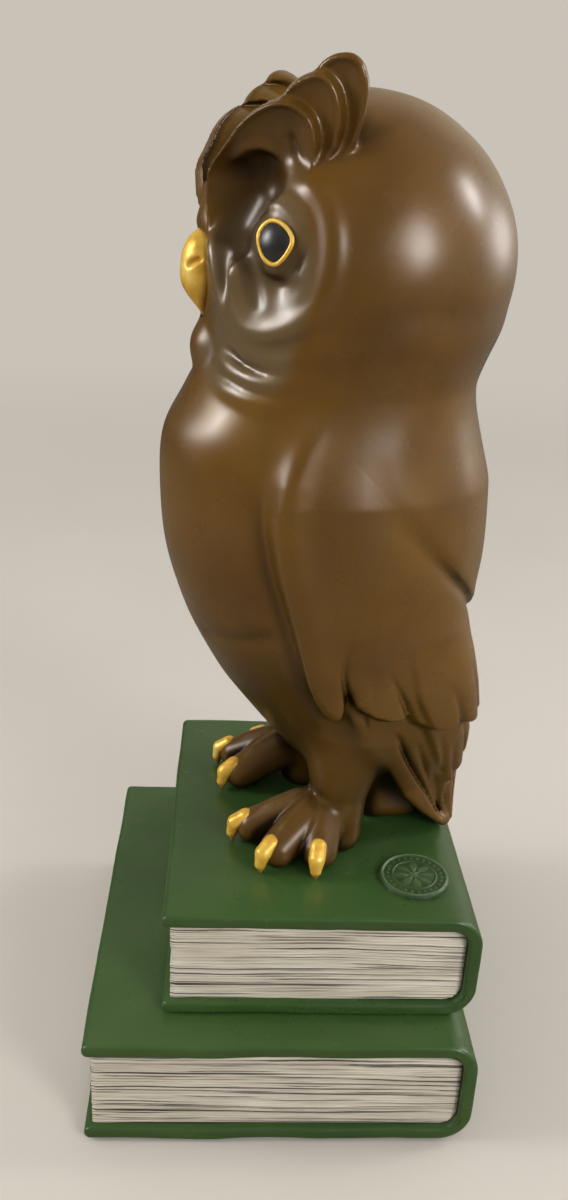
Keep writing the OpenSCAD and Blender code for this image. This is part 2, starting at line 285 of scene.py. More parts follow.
def wing_layer(q, d, border):
    """Raises the wing over the trunk: soft and rolled at the shoulder, crisper at the feather ends."""
    skin = wrap(q)
    z = q[:, 2]
    soft = np.interp(z, [55, 80, 118, 140], [0.9, 1.7, 3.6, 7.0])
    rise = np.interp(z, [45, 60, 100, 122, 150], [3.6, 3.8, 4.2, 4.2, 0.0])
    d = d - rise * step(border, soft)
    front = skin[:, 0] < math.radians(96) * WRAP_R
    roll = np.interp(z, [60, 90, 128, 148], [0.2, 0.9, 2.0, 0.0]) * front
    d = d - roll * np.exp(-((border + 5) / 3.8) ** 2)
    valley = np.interp(z, [45, 60, 110, 135], [0.8, 1.3, 1.3, 0]) * front
    d = d + valley * np.exp(-((border - 2.6) / 3.2) ** 2)
    for slit in WING_SLITS:
        line = curve(skin_points(slit))
        i = near_line(skin, line, 6)
        if len(i):
            r, along = to_polyline(skin[i], line)
            side = np.clip(1 - along, 0, 1)
            inside = step(border[i], 1.0)
            d[i] += 1.7 * side ** 0.8 * inside * np.exp(-(r / 1.05) ** 2)
            d[i] += 0.8 * side * inside * np.exp(-(r / 2.8) ** 2)
    return d


def mantle_layer(q, d):
    skin = wrap(q)
    u = np.degrees(skin[:, 0] / WRAP_R)
    border = (np.interp(u, *MANTLE_EDGE.T) - q[:, 2]) * 0.8
    sharp = np.clip((u - 99) / 32, 0, 1)
    rise = 1.7 * sharp * np.interp(-border, [0, 10, 45], [1, 0.8, 0.0])
    d = d - rise * step(border, 0.8 + 5 * (1 - sharp))
    valley = 0.8 * np.clip((u - 92) / 28, 0, 1)
    return d + valley * np.exp(-((border - 1.5) / (2.2 + 4 * (1 - sharp))) ** 2)


TAIL_Y = 8.0
# The tail's half width and its back, by height
TAIL_WIDTH = np.array([(0, 24), (20, 25.5), (35, 29.5), (50, 32.5), (62, 33.5), (80, 33.5), (104, 28)])
TAIL_BACK = np.array([(0, 49), (12, 48.3), (40, 47), (55, 44), (70, 40.7), (86, 36.5), (104, 30)])
TAIL_SQUARE = 4.0
TAIL_R = 35.0


def tail_section(z):
    """Half width and depth behind TAIL_Y at each height."""
    return np.interp(z, *TAIL_WIDTH.T), np.interp(z, *TAIL_BACK.T) - TAIL_Y


def tail_shape(q):
    z = q[:, 2]
    half, deep = tail_section(z)
    flat = np.stack([q[:, 0], q[:, 1] - TAIL_Y], axis=1)
    k = (np.abs(flat[:, 0]) / half) ** TAIL_SQUARE + (np.abs(flat[:, 1]) / deep) ** TAIL_SQUARE
    k = k ** (1 / TAIL_SQUARE)
    d = np.linalg.norm(flat, axis=1) * (1 - 1 / np.maximum(k, 0.05))
    edge = np.interp(z, [0, 9, 17, 35, 53, 66], [42, 32.5, 25, 14, 2.5, -6])
    d = smooth_max(d, (edge - q[:, 1]) * 0.8, 2.5)
    d = smooth_max(d, z - 104, 6)
    return smooth_max(d, 0.4 - z, 1.2)


def tail_round(q):
    """Angle round the tail from the middle of the back, in degrees, beside the height."""
    half, deep = tail_section(q[:, 2])
    return np.degrees(np.arctan2(q[:, 0] / half, (q[:, 1] - TAIL_Y) / deep))


def tail_points(rows):
    return [(math.radians(a) * TAIL_R, z) for a, z in rows]


COVERT_NOTCHES = [(47.5, 20), (43, 21), (36, 26), (27, 31), (14, 36), (0, 38)]
COVERT_SIDE = [(78, 112), (76, 84), (71, 62), (63, 46), (56.5, 34), (50.5, 26), (47.5, 20)]
TAIL_SLITS = [
    ([(76, 46), (70, 37.5), (61, 25), (52, 13.4), (45, 5)], 2.0),
    ([(66, 42), (58, 28), (50, 15), (43, 6)], 1.6),
    ([(56, 30), (49, 17), (42, 5)], 1.7),
    ([(46, 19), (41, 9), (37, 1)], 1.7),
    ([(38, 22), (34, 10), (31, 1)], 1.7),
    ([(25, 28), (21, 12), (19, 1)], 1.6),
    ([(10, 34), (8, 15), (7, 1)], 1.6),
    ([(43, 20), (47, 29), (51, 40)], 1.7),
    ([(36, 25), (40, 35), (46, 47)], 1.7),
    ([(27, 30), (31, 40), (36, 50)], 1.6),
    ([(14, 35), (16, 44), (19, 52)], 1.6),
    ([(50.5, 26), (54, 35), (58, 45)], 1.5),
]


def covert_outline():
    side = curve(tail_points(COVERT_SIDE))
    ends = scallops(tail_points(COVERT_NOTCHES), 0.3)
    top = np.array(tail_points([(0, 38), (-30, 38), (-30, 112)]))
    return np.vstack([side[:-1], ends, top])


COVERT_OUTLINE = covert_outline()


def tail(q):
    d = tail_shape(q)
    i = np.where((np.abs(d) < 12) & (q[:, 2] < 90) & (q[:, 1] > -4))[0]
    if not len(i):
        return d
    skin = np.stack([np.radians(tail_round(q[i])) * TAIL_R, q[i, 2]], axis=1)
    coverts = step(in_outline(skin, COVERT_OUTLINE), 0.8)
    shade = d[i] - 1.9 * coverts * np.interp(q[i, 2], [58, 84], [1, 0])
    for slit, depth in TAIL_SLITS:
        line = curve(tail_points(slit))
        j = near_line(skin, line, 5)
        if len(j):
            r, along = to_polyline(skin[j], line)
            down = slit[0][1] > slit[-1][1]
            rise = np.clip(along / 0.3, 0, 1) if down else 1 - along ** 2
            rise = rise * np.clip(skin[j, 1] / 9, 0.15, 1)
            shade[j] += depth * rise * np.exp(-(r / 0.75) ** 2) + 0.4 * rise * np.exp(-(r / 2.4) ** 2)
    d[i] = shade
    return d


# ---------------------------------------------------------------- face

BROW_HOLLOW = [(20.4, -34.6, 187.5), (16.4, -34.6, 193.4), (18.0, -32.4, 198.6), (20.8, -29.2, 200.8)]


def brow_hollow(p):
    """The deep shadowed pocket under the hood of the brow."""
    return chain(p, BROW_HOLLOW, [3.4, 6.6, 7.4, 6.2])


def bare_face(p):
    """The head before its ridges: dished disc, the eye's mound, the chin and a ridge between the brows."""
    d = smooth_max(trunk(p), -ellipsoid(p, (35, -29.5, 183.5), (8.5, 8.5, 12)), 4.0)
    d = smooth_min(d, ellipsoid(p, (27.4, -22.4, 187.4), (7.2, 7.2, 8.8)), 2.0)
    d = smooth_min(d, ellipsoid(p, (0, -37.0, 157.4), (8.0, 6.0, 7.8)), 3.5)
    return smooth_min(d, chain(p, [(0, -36, 191), (0, -31, 205)], [5.0, 5.0]), 4.0)


def settled(points):
    """A smooth curve through the points, dropped onto the bare face."""
    line = curve(points)
    for _ in range(4):
        d = bare_face(line)
        slope = np.stack([(bare_face(line + e) - d) / 0.1 for e in 0.1 * np.eye(3)], axis=1)
        line = line - slope * (d / np.maximum((slope ** 2).sum(1), 0.25))[:, None]
    return line


# Ridges (and with a negative height grooves) of the face: line, height, width and how soon its ends fade
CREASES = [
    # the disc's rim, from the brow round the cheek and up beside the beak
    ([(28.5, -22, 203.4), (32, -19, 202.2), (34.8, -16.3, 199.8), (37.3, -14.3, 196.1),
      (39.2, -13.5, 191.8), (40.2, -13.3, 187.4), (40.5, -13.7, 182.4), (39.9, -14.7, 177.1),
      (38.3, -16.5, 172.8),
      (35, -19.9, 168.7), (31.3, -23.3, 166.3), (27.2, -26.9, 165.3), (23.5, -30.5, 166.8),
      (21.6, -33.4, 171.3), (21.0, -35, 177.6), (21.9, -34.6, 183.4), (23.4, -33.1, 188)], 2.1, 2.7, 0.12),
    # grooves beside the eye and beside the beak, and the ridge between the two
    ([(24.4, -31.5, 192.5), (25.6, -32, 186), (26.8, -31.4, 180), (27.6, -30.1, 174.6), (29, -28, 170.4)],
     -2.8, 1.9, 0.42),
    ([(15.2, -36.8, 191.5), (16.6, -37, 186), (18, -36.6, 181), (19, -35.8, 176.5), (20.4, -33.8, 170.5)],
     -3.0, 1.9, 0.38),
    ([(9.8, -38.8, 191), (11.0, -38.8, 187), (13, -38.5, 181.8), (14.8, -37.5, 175.2), (17.2, -35.3, 169.3),
      (20, -32.3, 164.6)], 2.2, 2.2, 0.3),
    # the lid, the fold over it and the roll below the eye
    ([(24.6, -30.6, 192.6), (25.8, -29.4, 195.8), (28.4, -27.2, 197.2), (31.4, -24.4, 196.6),
      (34.2, -21.8, 193.6), (35.8, -20.9, 189), (35.4, -22.5, 184.6)], 1.5, 1.3, 0.25),
    ([(27.5, -28.2, 199.2), (31, -24.2, 199.2), (35, -20.2, 195.8), (37, -18.8, 190)], 0.8, 1.0, 0.2),
    ([(27.6, -30.6, 183.4), (29.4, -29.2, 181), (31.6, -27.2, 179.8), (34.4, -24, 179.8),
      (36.6, -21.2, 182), (37.2, -20, 186)], 0.5, 1.7, 0.3),
    # folds of the neck below the disc
    ([(15, -36.6, 164.3), (21.5, -32.8, 161.8), (26.5, -28.8, 159.6), (31.5, -24, 158.6),
      (36.5, -17.4, 160.6), (40, -10.5, 165.5)], 2.2, 3.0, 0.3),
    ([(10, -39, 158.5), (17, -36, 156), (23.5, -31.8, 153.6), (30, -26.2, 152.6), (35.4, -19.6, 154.4),
      (39, -12.4, 159)], 2.4, 2.6, 0.3),
    ([(12, -39.8, 152.4), (20, -35.4, 149.8), (27, -29.9, 148), (33, -24, 148), (37.5, -17, 151)],
     1.4, 2.4, 0.35),
    ([(13, -38.2, 161.4), (20, -34.2, 158.8), (26, -29.4, 156.3), (32, -23.6, 155.9), (37, -16.8, 158.2)],
     -1.0, 1.6, 0.4),
    ([(12, -38.9, 155.2), (19, -35.4, 152.8), (26, -30, 150.6), (32, -24.6, 150.2), (36.6, -18, 152.8)],
     -0.9, 1.6, 0.4),
]
CREASES = [(settled(points), height, width, fade) for points, height, width, fade in CREASES]


def face(q, d):
    i = np.where((q[:, 2] > 140) & (q[:, 1] < 12))[0]
    if not len(i):
        return d
    p = q[i]
    f = bare_face(p)
    for line, height, width, fade in CREASES:
        f = crease(p, f, line, height, width, fade)
    d[i] = f
    return d


# ---------------------------------------------------------------- brow tufts

# A tuft lies in a plane: out to the eye's side, along to its tip, and up across it
TUFT_AT = np.array([20, -32, 208.0])
TUFT_OUT = np.array([0.763, -0.582, -0.281])
TUFT_ALONG = np.array([0.634, 0.589, 0.500])
TUFT_UP = np.cross(TUFT_OUT, TUFT_ALONG)
# Its three feathers, the hooded one over the eye first: outlines in (along, up), each lying further back
FEATHERS = [
    [(-24, -14), (-20.6, -8), (-17.8, -2.8), (-15, 0.4), (-13.1, 2.3), (-10.2, 3.8), (-6.9, 4.6),
     (-2.6, 5.6), (0.8, 6.6), (4.5, 7.2), (7.8, 7.3), (10.9, 7.0), (14, 6.2), (17.6, 3.9), (19.5, 0.8),
     (20.1, -2.8), (18.6, -6.6), (16.2, -9.6), (13, -13), (2, -16), (-10, -17), (-20, -17)],
    [(10, 3), (14, 5.6), (18, 6.9), (22, 6.9), (25.4, 6.0), (27.6, 4.2), (28.4, 1.4), (28.0, -1.6),
     (26.8, -4.4), (25, -7), (22.4, -9.4), (19, -12), (10, -14), (6, -6)],
    [(20, 3), (24.3, 5.9), (28, 6.9), (31.6, 6.4), (34.9, 4.5), (36.1, 1.7), (35.7, -0.9), (34.7, -3.3),
     (32.6, -6), (30, -8.6), (27, -11), (22.5, -13.5), (15, -14), (12, -6)],
]
FEATHERS = [curve(rows, closed=True, per=3) for rows in FEATHERS]
FEATHER_STEP = 2.2
FEATHER_FOLD = np.array([(12.2, -3.5), (11.6, -6.5), (11.2, -10)])
# The roll where the hood turns under into the pocket
BROW_ARCH = curve([(13.2, -35.0, 203), (14.6, -33.8, 206), (17, -32, 208.8), (19, -29.7, 209.8),
                   (20.8, -27.4, 209.6), (22.6, -25, 207.8), (25, -23.4, 205)])


def tuft(q):
    """Three dished, overlapping feathers on a wedge that runs back into the crown.

    Near the middle plane the two wedges are eased into one soft valley.
    """
    d = np.full(len(q), 40.0)
    i = np.where((q[:, 2] > 182) & (q[:, 1] < 10))[0]
    if not len(i):
        return d
    p = np.column_stack([np.hypot(q[i, 0], 4), q[i, 1:]]) - TUFT_AT
    flat = np.stack([p @ TUFT_ALONG, p @ TUFT_UP], axis=1)
    out = p @ TUFT_OUT
    edges = [in_outline(flat, rows) for rows in FEATHERS]
    front = None
    for k in (2, 1, 0):
        inward = -edges[k]
        deep = 2.6 if k == 0 else 1.5
        dish = deep * (1 - np.exp(-np.maximum(inward - 0.8, 0) / 4))
        lip = 0.3 * np.exp(-((inward - 0.7) / 0.7) ** 2)
        layer = -FEATHER_STEP * k - dish + lip
        front = layer if front is None else front + (layer - front) * step(edges[k], 0.6)
    r = to_polyline(flat, FEATHER_FOLD)[0]
    front = front - 0.8 * np.exp(-(r / 1.2) ** 2)
    edge = smooth_min(smooth_min(edges[0], edges[1], 0.8), edges[2], 0.8)
    inside = np.maximum(-edge, 0)
    thick = 2.4 + 0.85 * np.minimum(inside, 14)
    back = (front - thick - out) * 0.76
    round_off = 0.9
    w = np.stack([edge + round_off, out - front + round_off], axis=1)
    f = np.minimum(w.max(1), 0) + np.linalg.norm(np.maximum(w, 0), axis=1) - round_off
    d[i] = smooth_max(f, back, 1.2)
    return d


# ---------------------------------------------------------------- legs and feet

# Talon tips from each leg's centre, outward and forward: inner, middle and outer toe of each foot
TOES = {1: [(-4, -30), (14.5, -24), (20.5, -7.5)], -1: [(-5.5, -28.5), (11.6, -27.5), (20, -12.5)]}


def toe(p, tip):
    tip = np.array([*tip, 0.0])
    way = tip / np.linalg.norm(tip)
    pad = tip - way * 7.6
    line = [(0, 2, 14)] + [pad * part + [0, 0, z] for part, z in ((0.36, 12.2), (0.64, 9.8), (1, 6.0))]
    d = chain(p, line, [7.6, 7.0, 6.4, 6.0])
    top = [pad * part + [0, 0, z] for part, z in ((0.36, 18.6), (0.64, 15.8), (1, 11.8))]
    top = np.array([(0, 2, 22.5), *top])
    return crease(p, d, top, 2.0, 1.4, 0.2)


def foot(p):
    """A feathered shank and three chunky toes on the cover; the hind toe, tucked under the belly, is not
    made.
    """
    d = np.full(len(p), 60.0)
    for side in (1, -1):
        i = np.where((p[:, 2] < 60) & (p[:, 0] * side >= 0))[0]
        if not len(i):
            continue
        q = p[i] * [side, 1, 1] - [LEG_X, 0, 0]
        f = chain(q, [(0, 3, 5), (0, 4, 18), (-3, 7, 40)], [9.4, 9.2, 15])
        toes = toe(q, TOES[side][0])
        for tip in TOES[side][1:]:
            toes = smooth_min(toes, toe(q, tip), 0.7)
        f = smooth_min(f, toes, 1.8)
        d[i] = smooth_max(f, 0.1 - q[:, 2], 1.0)
    return d


def rump(q):
    """The lowest feathers between the legs and the tail, down to the cover."""
    w = np.abs(q - [0, 25, 20]) - [15.5, 12.5, 19.5] + 7
    d = np.linalg.norm(np.maximum(w, 0), axis=1) + np.minimum(w.max(1), 0) - 7
    return smooth_max(d, 0.3 - q[:, 2], 1.0)


# ---------------------------------------------------------------- the whole owl and its castings

def wobble(p):
    """The slight unevenness of hand-modelled wax."""
    x, y, z = p[:, 0], p[:, 1], p[:, 2]
    return (0.16 * np.sin(0.13 * x + 0.07 * z + 1.3) * np.sin(0.11 * y - 0.05 * z)
            + 0.10 * np.sin(0.23 * y + 0.17 * x + 2.1) * np.sin(0.19 * z + 0.6))


def mirrored(p):
    return np.column_stack([np.abs(p[:, 0]), p[:, 1:]])


def owl(p, tufted=True):
    q = mirrored(p)
    d = face(q, trunk(q))
    d = smooth_min(d, tail(q), 5.0)
    d = crease(q, d, BELLY_FOLD, -0.6, 2.8)
    border = wing_border(q)
    i = np.where((q[:, 2] > 30) & (q[:, 2] < 175))[0]
    d[i] = mantle_layer(q[i], wing_layer(q[i], d[i], border[i]))
    d = smooth_min(d, rump(q), 3.0)
    d = smooth_min(d, foot(p), 4.0)
    if tufted:
        d = smooth_min(d, tuft(q), 2.0)
    d = smooth_max(d, -brow_hollow(q), 6.5)
    d = crease(q, d, BROW_ARCH, 0.9, 1.6, 0.3)
    d = smooth_max(d, beak_seat(q), 0.8)
    return d + wobble(p)


BELLY_FOLD = curve([(8, -39, 75), (15, -36.6, 75.6), (21, -32.8, 77), (29, -26.5, 79.5), (35, -18.6, 83)])


def beak_seat(q):
    """Hollow that takes the beak, so that the two castings meet in a crease."""
    d = np.full(len(q), -60.0)
    i = np.where((q[:, 2] > 150) & (q[:, 2] < 205) & (q[:, 1] < -20))[0]
    d[i] = -(beak(q[i]) - 0.15)
    return d


def beak(p):
    q = mirrored(p)
    d = ellipsoid(q, (0, -37.4, 179.6), (6.9, 8.3, 10.3))
    hook = chain(q, [(0, -39.6, 175), (0, -38.4, 166.8)], [4.6, 1.4])
    d = smooth_min(d, hook, 4.0)
    d = smooth_max(d, q[:, 1] + 36.6, 0.8)
    nostril = chain(q, [(5.6, -41.3, 181.4), (4.2, -43.9, 179.9)], [0.75, 0.75])
    return smooth_max(d, -nostril, 0.5)


def recede(m):
    """How far a casting sinks below the common surface, m millimetres outside its own region."""
    m = np.maximum(m, 0)
    return np.minimum(0.012 * m ** 3, 0.4 * m)


def piece_of(region, depth):
    """The part of the owl in a region, as a casting that runs on 3 mm under its neighbours."""
    def field(p):
        whole = owl(p)
        m = region(p)
        d = whole + recede(m)
        return np.maximum(np.maximum(d, m - 3), -whole - depth)
    return field


def wing_cover(q):
    """Where the wing casting shows: inside its border, in front of and below the mantle."""
    u = np.degrees(wrap(q)[:, 0] / WRAP_R)
    return np.maximum(wing_border(q), q[:, 2] - np.interp(u, *MANTLE_EDGE.T))


def wing_region(side):
    return lambda p: np.maximum(wing_cover(mirrored(p)), -side * p[:, 0])


def tuft_region(side):
    return lambda p: np.maximum(tuft(mirrored(p)) - 1.8, -side * p[:, 0])


def foot_region(side):
    return lambda p: np.maximum(np.maximum(foot(p) - 1.8, p[:, 2] - 20), -side * p[:, 0])


def tail_region(p):
    q = mirrored(p)
    return np.maximum(np.maximum(tail_shape(q) - 2.2, -wing_cover(q)), p[:, 2] - 60)


def body_field(p):
    taken = np.minimum(wing_cover(mirrored(p)), tail_region(p))
    taken = np.minimum(taken, np.maximum(foot(p) - 1.8, p[:, 2] - 20))
    return owl(p, tufted=False) + recede(-taken)


# ---------------------------------------------------------------- fields to meshes

def relax(points, quads, passes):
    """Evens out a mesh: every point moves halfway to the middle of its neighbours."""
    a = quads.ravel()
    b = np.roll(quads, -1, axis=1).ravel()
    n = len(points)
    count = np.bincount(a, minlength=n) + np.bincount(b, minlength=n)
    for _ in range(passes):
        total = [np.bincount(a, points[b, k], n) + np.bincount(b, points[a, k], n) for k in range(3)]
        points = points + 0.5 * (np.stack(total, axis=1) / count[:, None] - points)
    return points


def painted_shade_of(points, normals):
    """Painted shade: 0 in the open to 1 deep in a crease; the brow's pocket, undersides, the owl's foot at
    the cover and the legs are painted as shaded too.
    """
    # painted shade of the creases: how little open room there is round each point
    open_sky = np.zeros(len(points))
    for reach, weight in ((1.5, 0.3), (5.0, 0.4), (12.0, 0.3)):
        open_sky += weight * np.clip(owl(points + normals * reach) / reach, 0, 1)
    # painted shade on faces turned down and along the lowest 5 mm, where the owl meets the cover
    under = 0.35 * np.clip(-normals[:, 2], 0, 1) + 0.35 * np.clip(1 - points[:, 2] / 5, 0, 1)
    q = mirrored(points)
    # painted shade over the legs and lower belly, outside the wings
    legs = np.clip((92 - q[:, 2]) / 50, 0, 1) * np.clip((36 - q[:, 1]) / 20, 0, 1)
    under += 0.24 * legs * (1 - step(wing_border(q), 2.0))
    # painted shade in the pocket under the brow
    under += 0.5 * step(brow_hollow(q) - 0.5, 3.5)
    between_feathers = 1 - 0.5 * step(tuft(q) - 4.0, 4.0)
    return np.clip((1 - open_sky) * between_feathers + under, 0, 1)


def paler_face_and_neck(points):
    """1 on the disc of the face and the folds of the neck, where the bronze is coloured a paler, greyer
    brown.
    """
    q = mirrored(points)
    disc = ellipsoid(q, (25, -30, 179), (18.5, 19, 24.5))
    folds = ellipsoid(q, (19, -30, 157), (19, 16, 8.5))
    return step(smooth_min(disc, folds, 5.0), 2.4)


def solid(name, field, lo, hi, voxel, slack=1.3):
    """The zero surface of a field in the box lo..hi, as a mesh object with attributes for painted shade and
    for the paler, greyer face and neck.

    slack says how far the blended field may overstate a distance.
    """
    lo, hi = np.array(lo, float), np.array(hi, float)
    voxel = voxel * 1.0
    first = np.floor(lo / voxel).astype(int) - 2
    count = (np.ceil(hi / voxel).astype(int) + 3 - first + 7) // 8 * 8
    cells = np.indices(count // 8).reshape(3, -1).T * 8
    corners = np.indices((2, 2, 2)).reshape(3, -1).T
    grid = np.zeros((1, 1, 1))
    for size in (8, 4, 2, 1):
        value = field((first + cells + (size - 1) / 2) * voxel)
        shape = count // size
        grid = np.zeros(shape) if size == 8 else grid.repeat(2, 0).repeat(2, 1).repeat(2, 2)
        grid[tuple((cells // size).T)] = np.clip(value, -4 * voxel, 4 * voxel)
        if size > 1:
            near = np.abs(value) < size * voxel * 0.87 * slack + 1.5 * voxel
            cells = (cells[near][:, None, :] + corners * (size // 2)).reshape(-1, 3)
    volume = vdb.FloatGrid(4 * voxel)
    volume.copyFromArray(grid.astype(np.float32), ijk=tuple(int(v) for v in first))
    volume.transform = vdb.createLinearTransform(voxelSize=voxel)
    points, quads = volume.convertToQuads(isovalue=0.0)
    points = relax(points.astype(float), quads, 1 if voxel < 0.75 else 2)
    mesh = bpy.data.meshes.new(name)
    mesh.from_pydata(points.tolist(), [], quads.tolist())
    mesh.update()
    normals = np.zeros(len(points) * 3, np.float32)
    mesh.vertex_normals.foreach_get("vector", normals)
    # painted shade, kept on the mesh to darken the bronze and gilt colours
    shaded = painted_shade_of(points, normals.reshape(-1, 3))
    for word, value in (("painted_shade", shaded), ("paler_face_and_neck", paler_face_and_neck(points))):
        mesh.attributes.new(word, "FLOAT", "POINT").data.foreach_set("value", value.astype(np.float32))
    mesh.vertices.foreach_set("co", from_owl(points).astype(np.float32).ravel())
    mesh.polygons.foreach_set("use_smooth", np.ones(len(quads), bool))
    mesh.update()
    made = bpy.data.objects.new(name, mesh)
    bpy.context.scene.collection.objects.link(made)
    return made


def place(piece, material, node):
    """Gives a piece its material and puts it in the place of a CAD node."""
    piece.data.materials.clear()
    piece.data.materials.append(material)
    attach(piece, "root")
    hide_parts(node)


# ---------------------------------------------------------------- eyes

EYE_OUT = np.array([32, -30, 7.0]) / np.linalg.norm([32, -30, 7.0])
EYE_UP = np.array([0, 0, 1.0]) - EYE_OUT * EYE_OUT[2]
EYE_UP = EYE_UP / np.linalg.norm(EYE_UP)
EYE_SIDE = np.cross(EYE_UP, EYE_OUT)
EYE_AT = HEAD + EYE_OUT * (HEAD_R + 0.6)
# Rounded, a little pointed below, its top leaning to the beak
EYE_ROUND = [(-4.6, 0.7), (-3.7, 3.6), (-1.1, 5.1), (2.4, 4.1), (5.1, 1.1), (4.0, -2.5), (0.9, -5.2),
             (-2.5, -3.7)]


def on_eye(a, b):
    """A point of the domed eye, a millimetres to the side and b up from its middle."""
    return EYE_AT + EYE_SIDE * a + EYE_UP * b + EYE_OUT * (1.0 - 0.032 * (a * a + b * b))


def eye_line():
    """The closed outline of an eye."""
    line = curve([on_eye(a, b) for a, b in EYE_ROUND], closed=True)
    return np.vstack([line, line[:1]])


EYE_LINE = eye_line()


def eye_rim(p):
    return to_polyline(mirrored(p), EYE_LINE)[0] - 0.64


def eye_ball(p):
    q = mirrored(p)
    d = np.linalg.norm(q - (EYE_AT - EYE_OUT * 6.8), axis=1) - 8.6
    local = np.stack([(q - EYE_AT) @ EYE_SIDE, (q - EYE_AT) @ EYE_UP], axis=1)
    outline = np.stack([(EYE_LINE - EYE_AT) @ EYE_SIDE, (EYE_LINE - EYE_AT) @ EYE_UP], axis=1)[:-1]
    d = smooth_max(d, in_outline(local, outline) + 0.3, 0.3)
    return np.maximum(d, -3.0 - (q - EYE_AT) @ EYE_OUT)


def talons(side):
    def field(p):
        q = p * [side, 1, 1] - [LEG_X, 0, 0]
        best = np.full(len(p), 1e9)
        for tip in TOES[side]:
            t = np.array([*tip, 0.0])
            way = t / np.linalg.norm(t)
            line = [t - way * 8.4 + [0, 0, 8.4], t - way * 4.6 + [0, 0, 9.4], t - way * 1.2 + [0, 0, 7.2],
                    t - way * 0.2 + [0, 0, 3.6], t - way * 0.4 + [0, 0, 0.75]]
            claw = chain(q, line, [2.2, 2.8, 2.7, 1.9, 0.7])
            best = np.minimum(best, claw)
        return best
    return field


# ---------------------------------------------------------------- materials

def shader(name):
    material = bpy.data.materials.new(name)
    material.use_nodes = True
    tree = material.node_tree
    return material, tree, tree.nodes["Principled BSDF"]


def add(tree, kind, **values):
    node = tree.nodes.new(kind)
    for key, value in values.items():
        if key in node.inputs:
            node.inputs[key].default_value = value
        else:
            setattr(node, key, value)
    return node


def noise(tree, scale, detail=3.0, stretch=None):
    """Noise in row-frame metres; stretch scales its axes."""
    where = add(tree, "ShaderNodeNewGeometry").outputs["Position"]
    if stretch:
        mapping = add(tree, "ShaderNodeMapping")
        mapping.inputs["Scale"].default_value = stretch
        tree.links.new(where, mapping.inputs["Vector"])
        where = mapping.outputs["Vector"]
    made = add(tree, "ShaderNodeTexNoise", Scale=scale, Detail=detail, Roughness=0.55)
    tree.links.new(where, made.inputs["Vector"])
    return made.outputs["Fac"]


def ramp(tree, value, *stops):
    """Maps a value through (position, colour or grey) stops."""
    node = add(tree, "ShaderNodeValToRGB")
    element = node.color_ramp.elements
    while len(element) < len(stops):
        element.new(0.5)
    for e, (position, colour) in zip(element, stops):
        e.position = position
        e.color = (*colour, 1) if isinstance(colour, tuple) else (colour, colour, colour, 1)
    tree.links.new(value, node.inputs["Fac"])
    return node.outputs["Color"]


def mix(tree, factor, a, b):
    """Colour a where the factor is 0, colour b where it is 1."""
    node = add(tree, "ShaderNodeMix", data_type="RGBA")
    for socket, value in ((0, factor), (6, a), (7, b)):
        if isinstance(value, (int, float)):
            node.inputs[socket].default_value = value
        elif isinstance(value, tuple):
            node.inputs[socket].default_value = (*value, 1)
        else:
            tree.links.new(value, node.inputs[socket])
    return node.outputs[2]


def bump(tree, shade, height, strength, distance):
    node = add(tree, "ShaderNodeBump", Strength=strength, Distance=distance)
    tree.links.new(height, node.inputs["Height"])
    tree.links.new(node.outputs["Normal"], shade.inputs["Normal"])


def painted(tree, word):
    """A value that each point of the mesh carries."""
    return add(tree, "ShaderNodeAttribute", attribute_name=word).outputs["Fac"]


def ease(tree, value, start, end, low, high):
    """A value taken smoothly from low at start to high at end."""
    node = add(tree, "ShaderNodeMapRange", interpolation_type="SMOOTHSTEP")
    for socket, number in (("From Min", start), ("From Max", end), ("To Min", low), ("To Max", high)):
        node.inputs[socket].default_value = number
    tree.links.new(value, node.inputs["Value"])
    return node.outputs["Result"]


def combine(tree, kind, a, b, **settings):
    """Joins two values, vectors or shaders in a node that takes them first."""
    node = add(tree, kind, **settings)
    for socket, value in ((0, a), (1, b)):
        if isinstance(value, tuple):
            node.inputs[socket].default_value = value
        else:
            tree.links.new(value, node.inputs[socket])
    return node


def blend(tree, factor, a, b):
    """Shader a where the factor is 0, shader b where it is 1."""
    node = add(tree, "ShaderNodeMixShader")
    for socket, value in ((0, factor), (1, a), (2, b)):
        tree.links.new(value, node.inputs[socket])
    return node.outputs[0]


def dress(tree, shade, **values):
    """Sets or links the surface's inputs, whose names have underscores for spaces here."""
    for word, value in values.items():
        socket = shade.inputs[word.replace("_", " ")]
        if isinstance(value, float):
            socket.default_value = value
        else:
            tree.links.new(value, socket)


def bronze_material():
    """Brown patina, paler and greyer on the face's disc and the neck's folds, with painted shade near black
    in the hollows, creases and undersides, under a satin lacquer.
    """
    material, tree, shade = shader("bronze")
    mottle = ramp(tree, noise(tree, 26, 4), (0.30, (0.098, 0.042, 0.004)), (0.50, (0.136, 0.062, 0.006)),
                  (0.72, (0.172, 0.084, 0.010)))
    dust = ramp(tree, noise(tree, 70, 5), (0.48, 0.0), (0.78, 0.35))
    colour = mix(tree, dust, mottle, (0.105, 0.064, 0.024))
    # paler, greyer brown on the disc of the face and the folds of the neck
    greyer = ramp(tree, painted(tree, "paler_face_and_neck"), (0.0, 0.0), (1.0, 0.75))
    colour = mix(tree, greyer, colour, (0.142, 0.096, 0.044))
    # painted shade: the colour turns near black in creases, hollows and undersides
    dark = ramp(tree, painted(tree, "painted_shade"), (0.10, 0.0), (0.66, 1.0))
    colour = mix(tree, dark, colour, (0.015, 0.008, 0.0025))
    specular = ramp(tree, painted(tree, "painted_shade"), (0.15, 0.3), (0.60, 0.1))
    rough = ramp(tree, noise(tree, 90, 4), (0.3, 0.32), (0.7, 0.42))
    lacquer = ramp(tree, painted(tree, "painted_shade"), (0.15, 0.62), (0.60, 0.12))
    satin = ramp(tree, noise(tree, 32, 5), (0.35, 0.20), (0.70, 0.34))
    dress(tree, shade, Base_Color=colour, Metallic=0.12, Specular_IOR_Level=specular, Roughness=rough,
          Coat_Weight=lacquer, Coat_Roughness=satin)
    bump(tree, shade, noise(tree, 700, 3), 0.06, 0.0004)
    return material


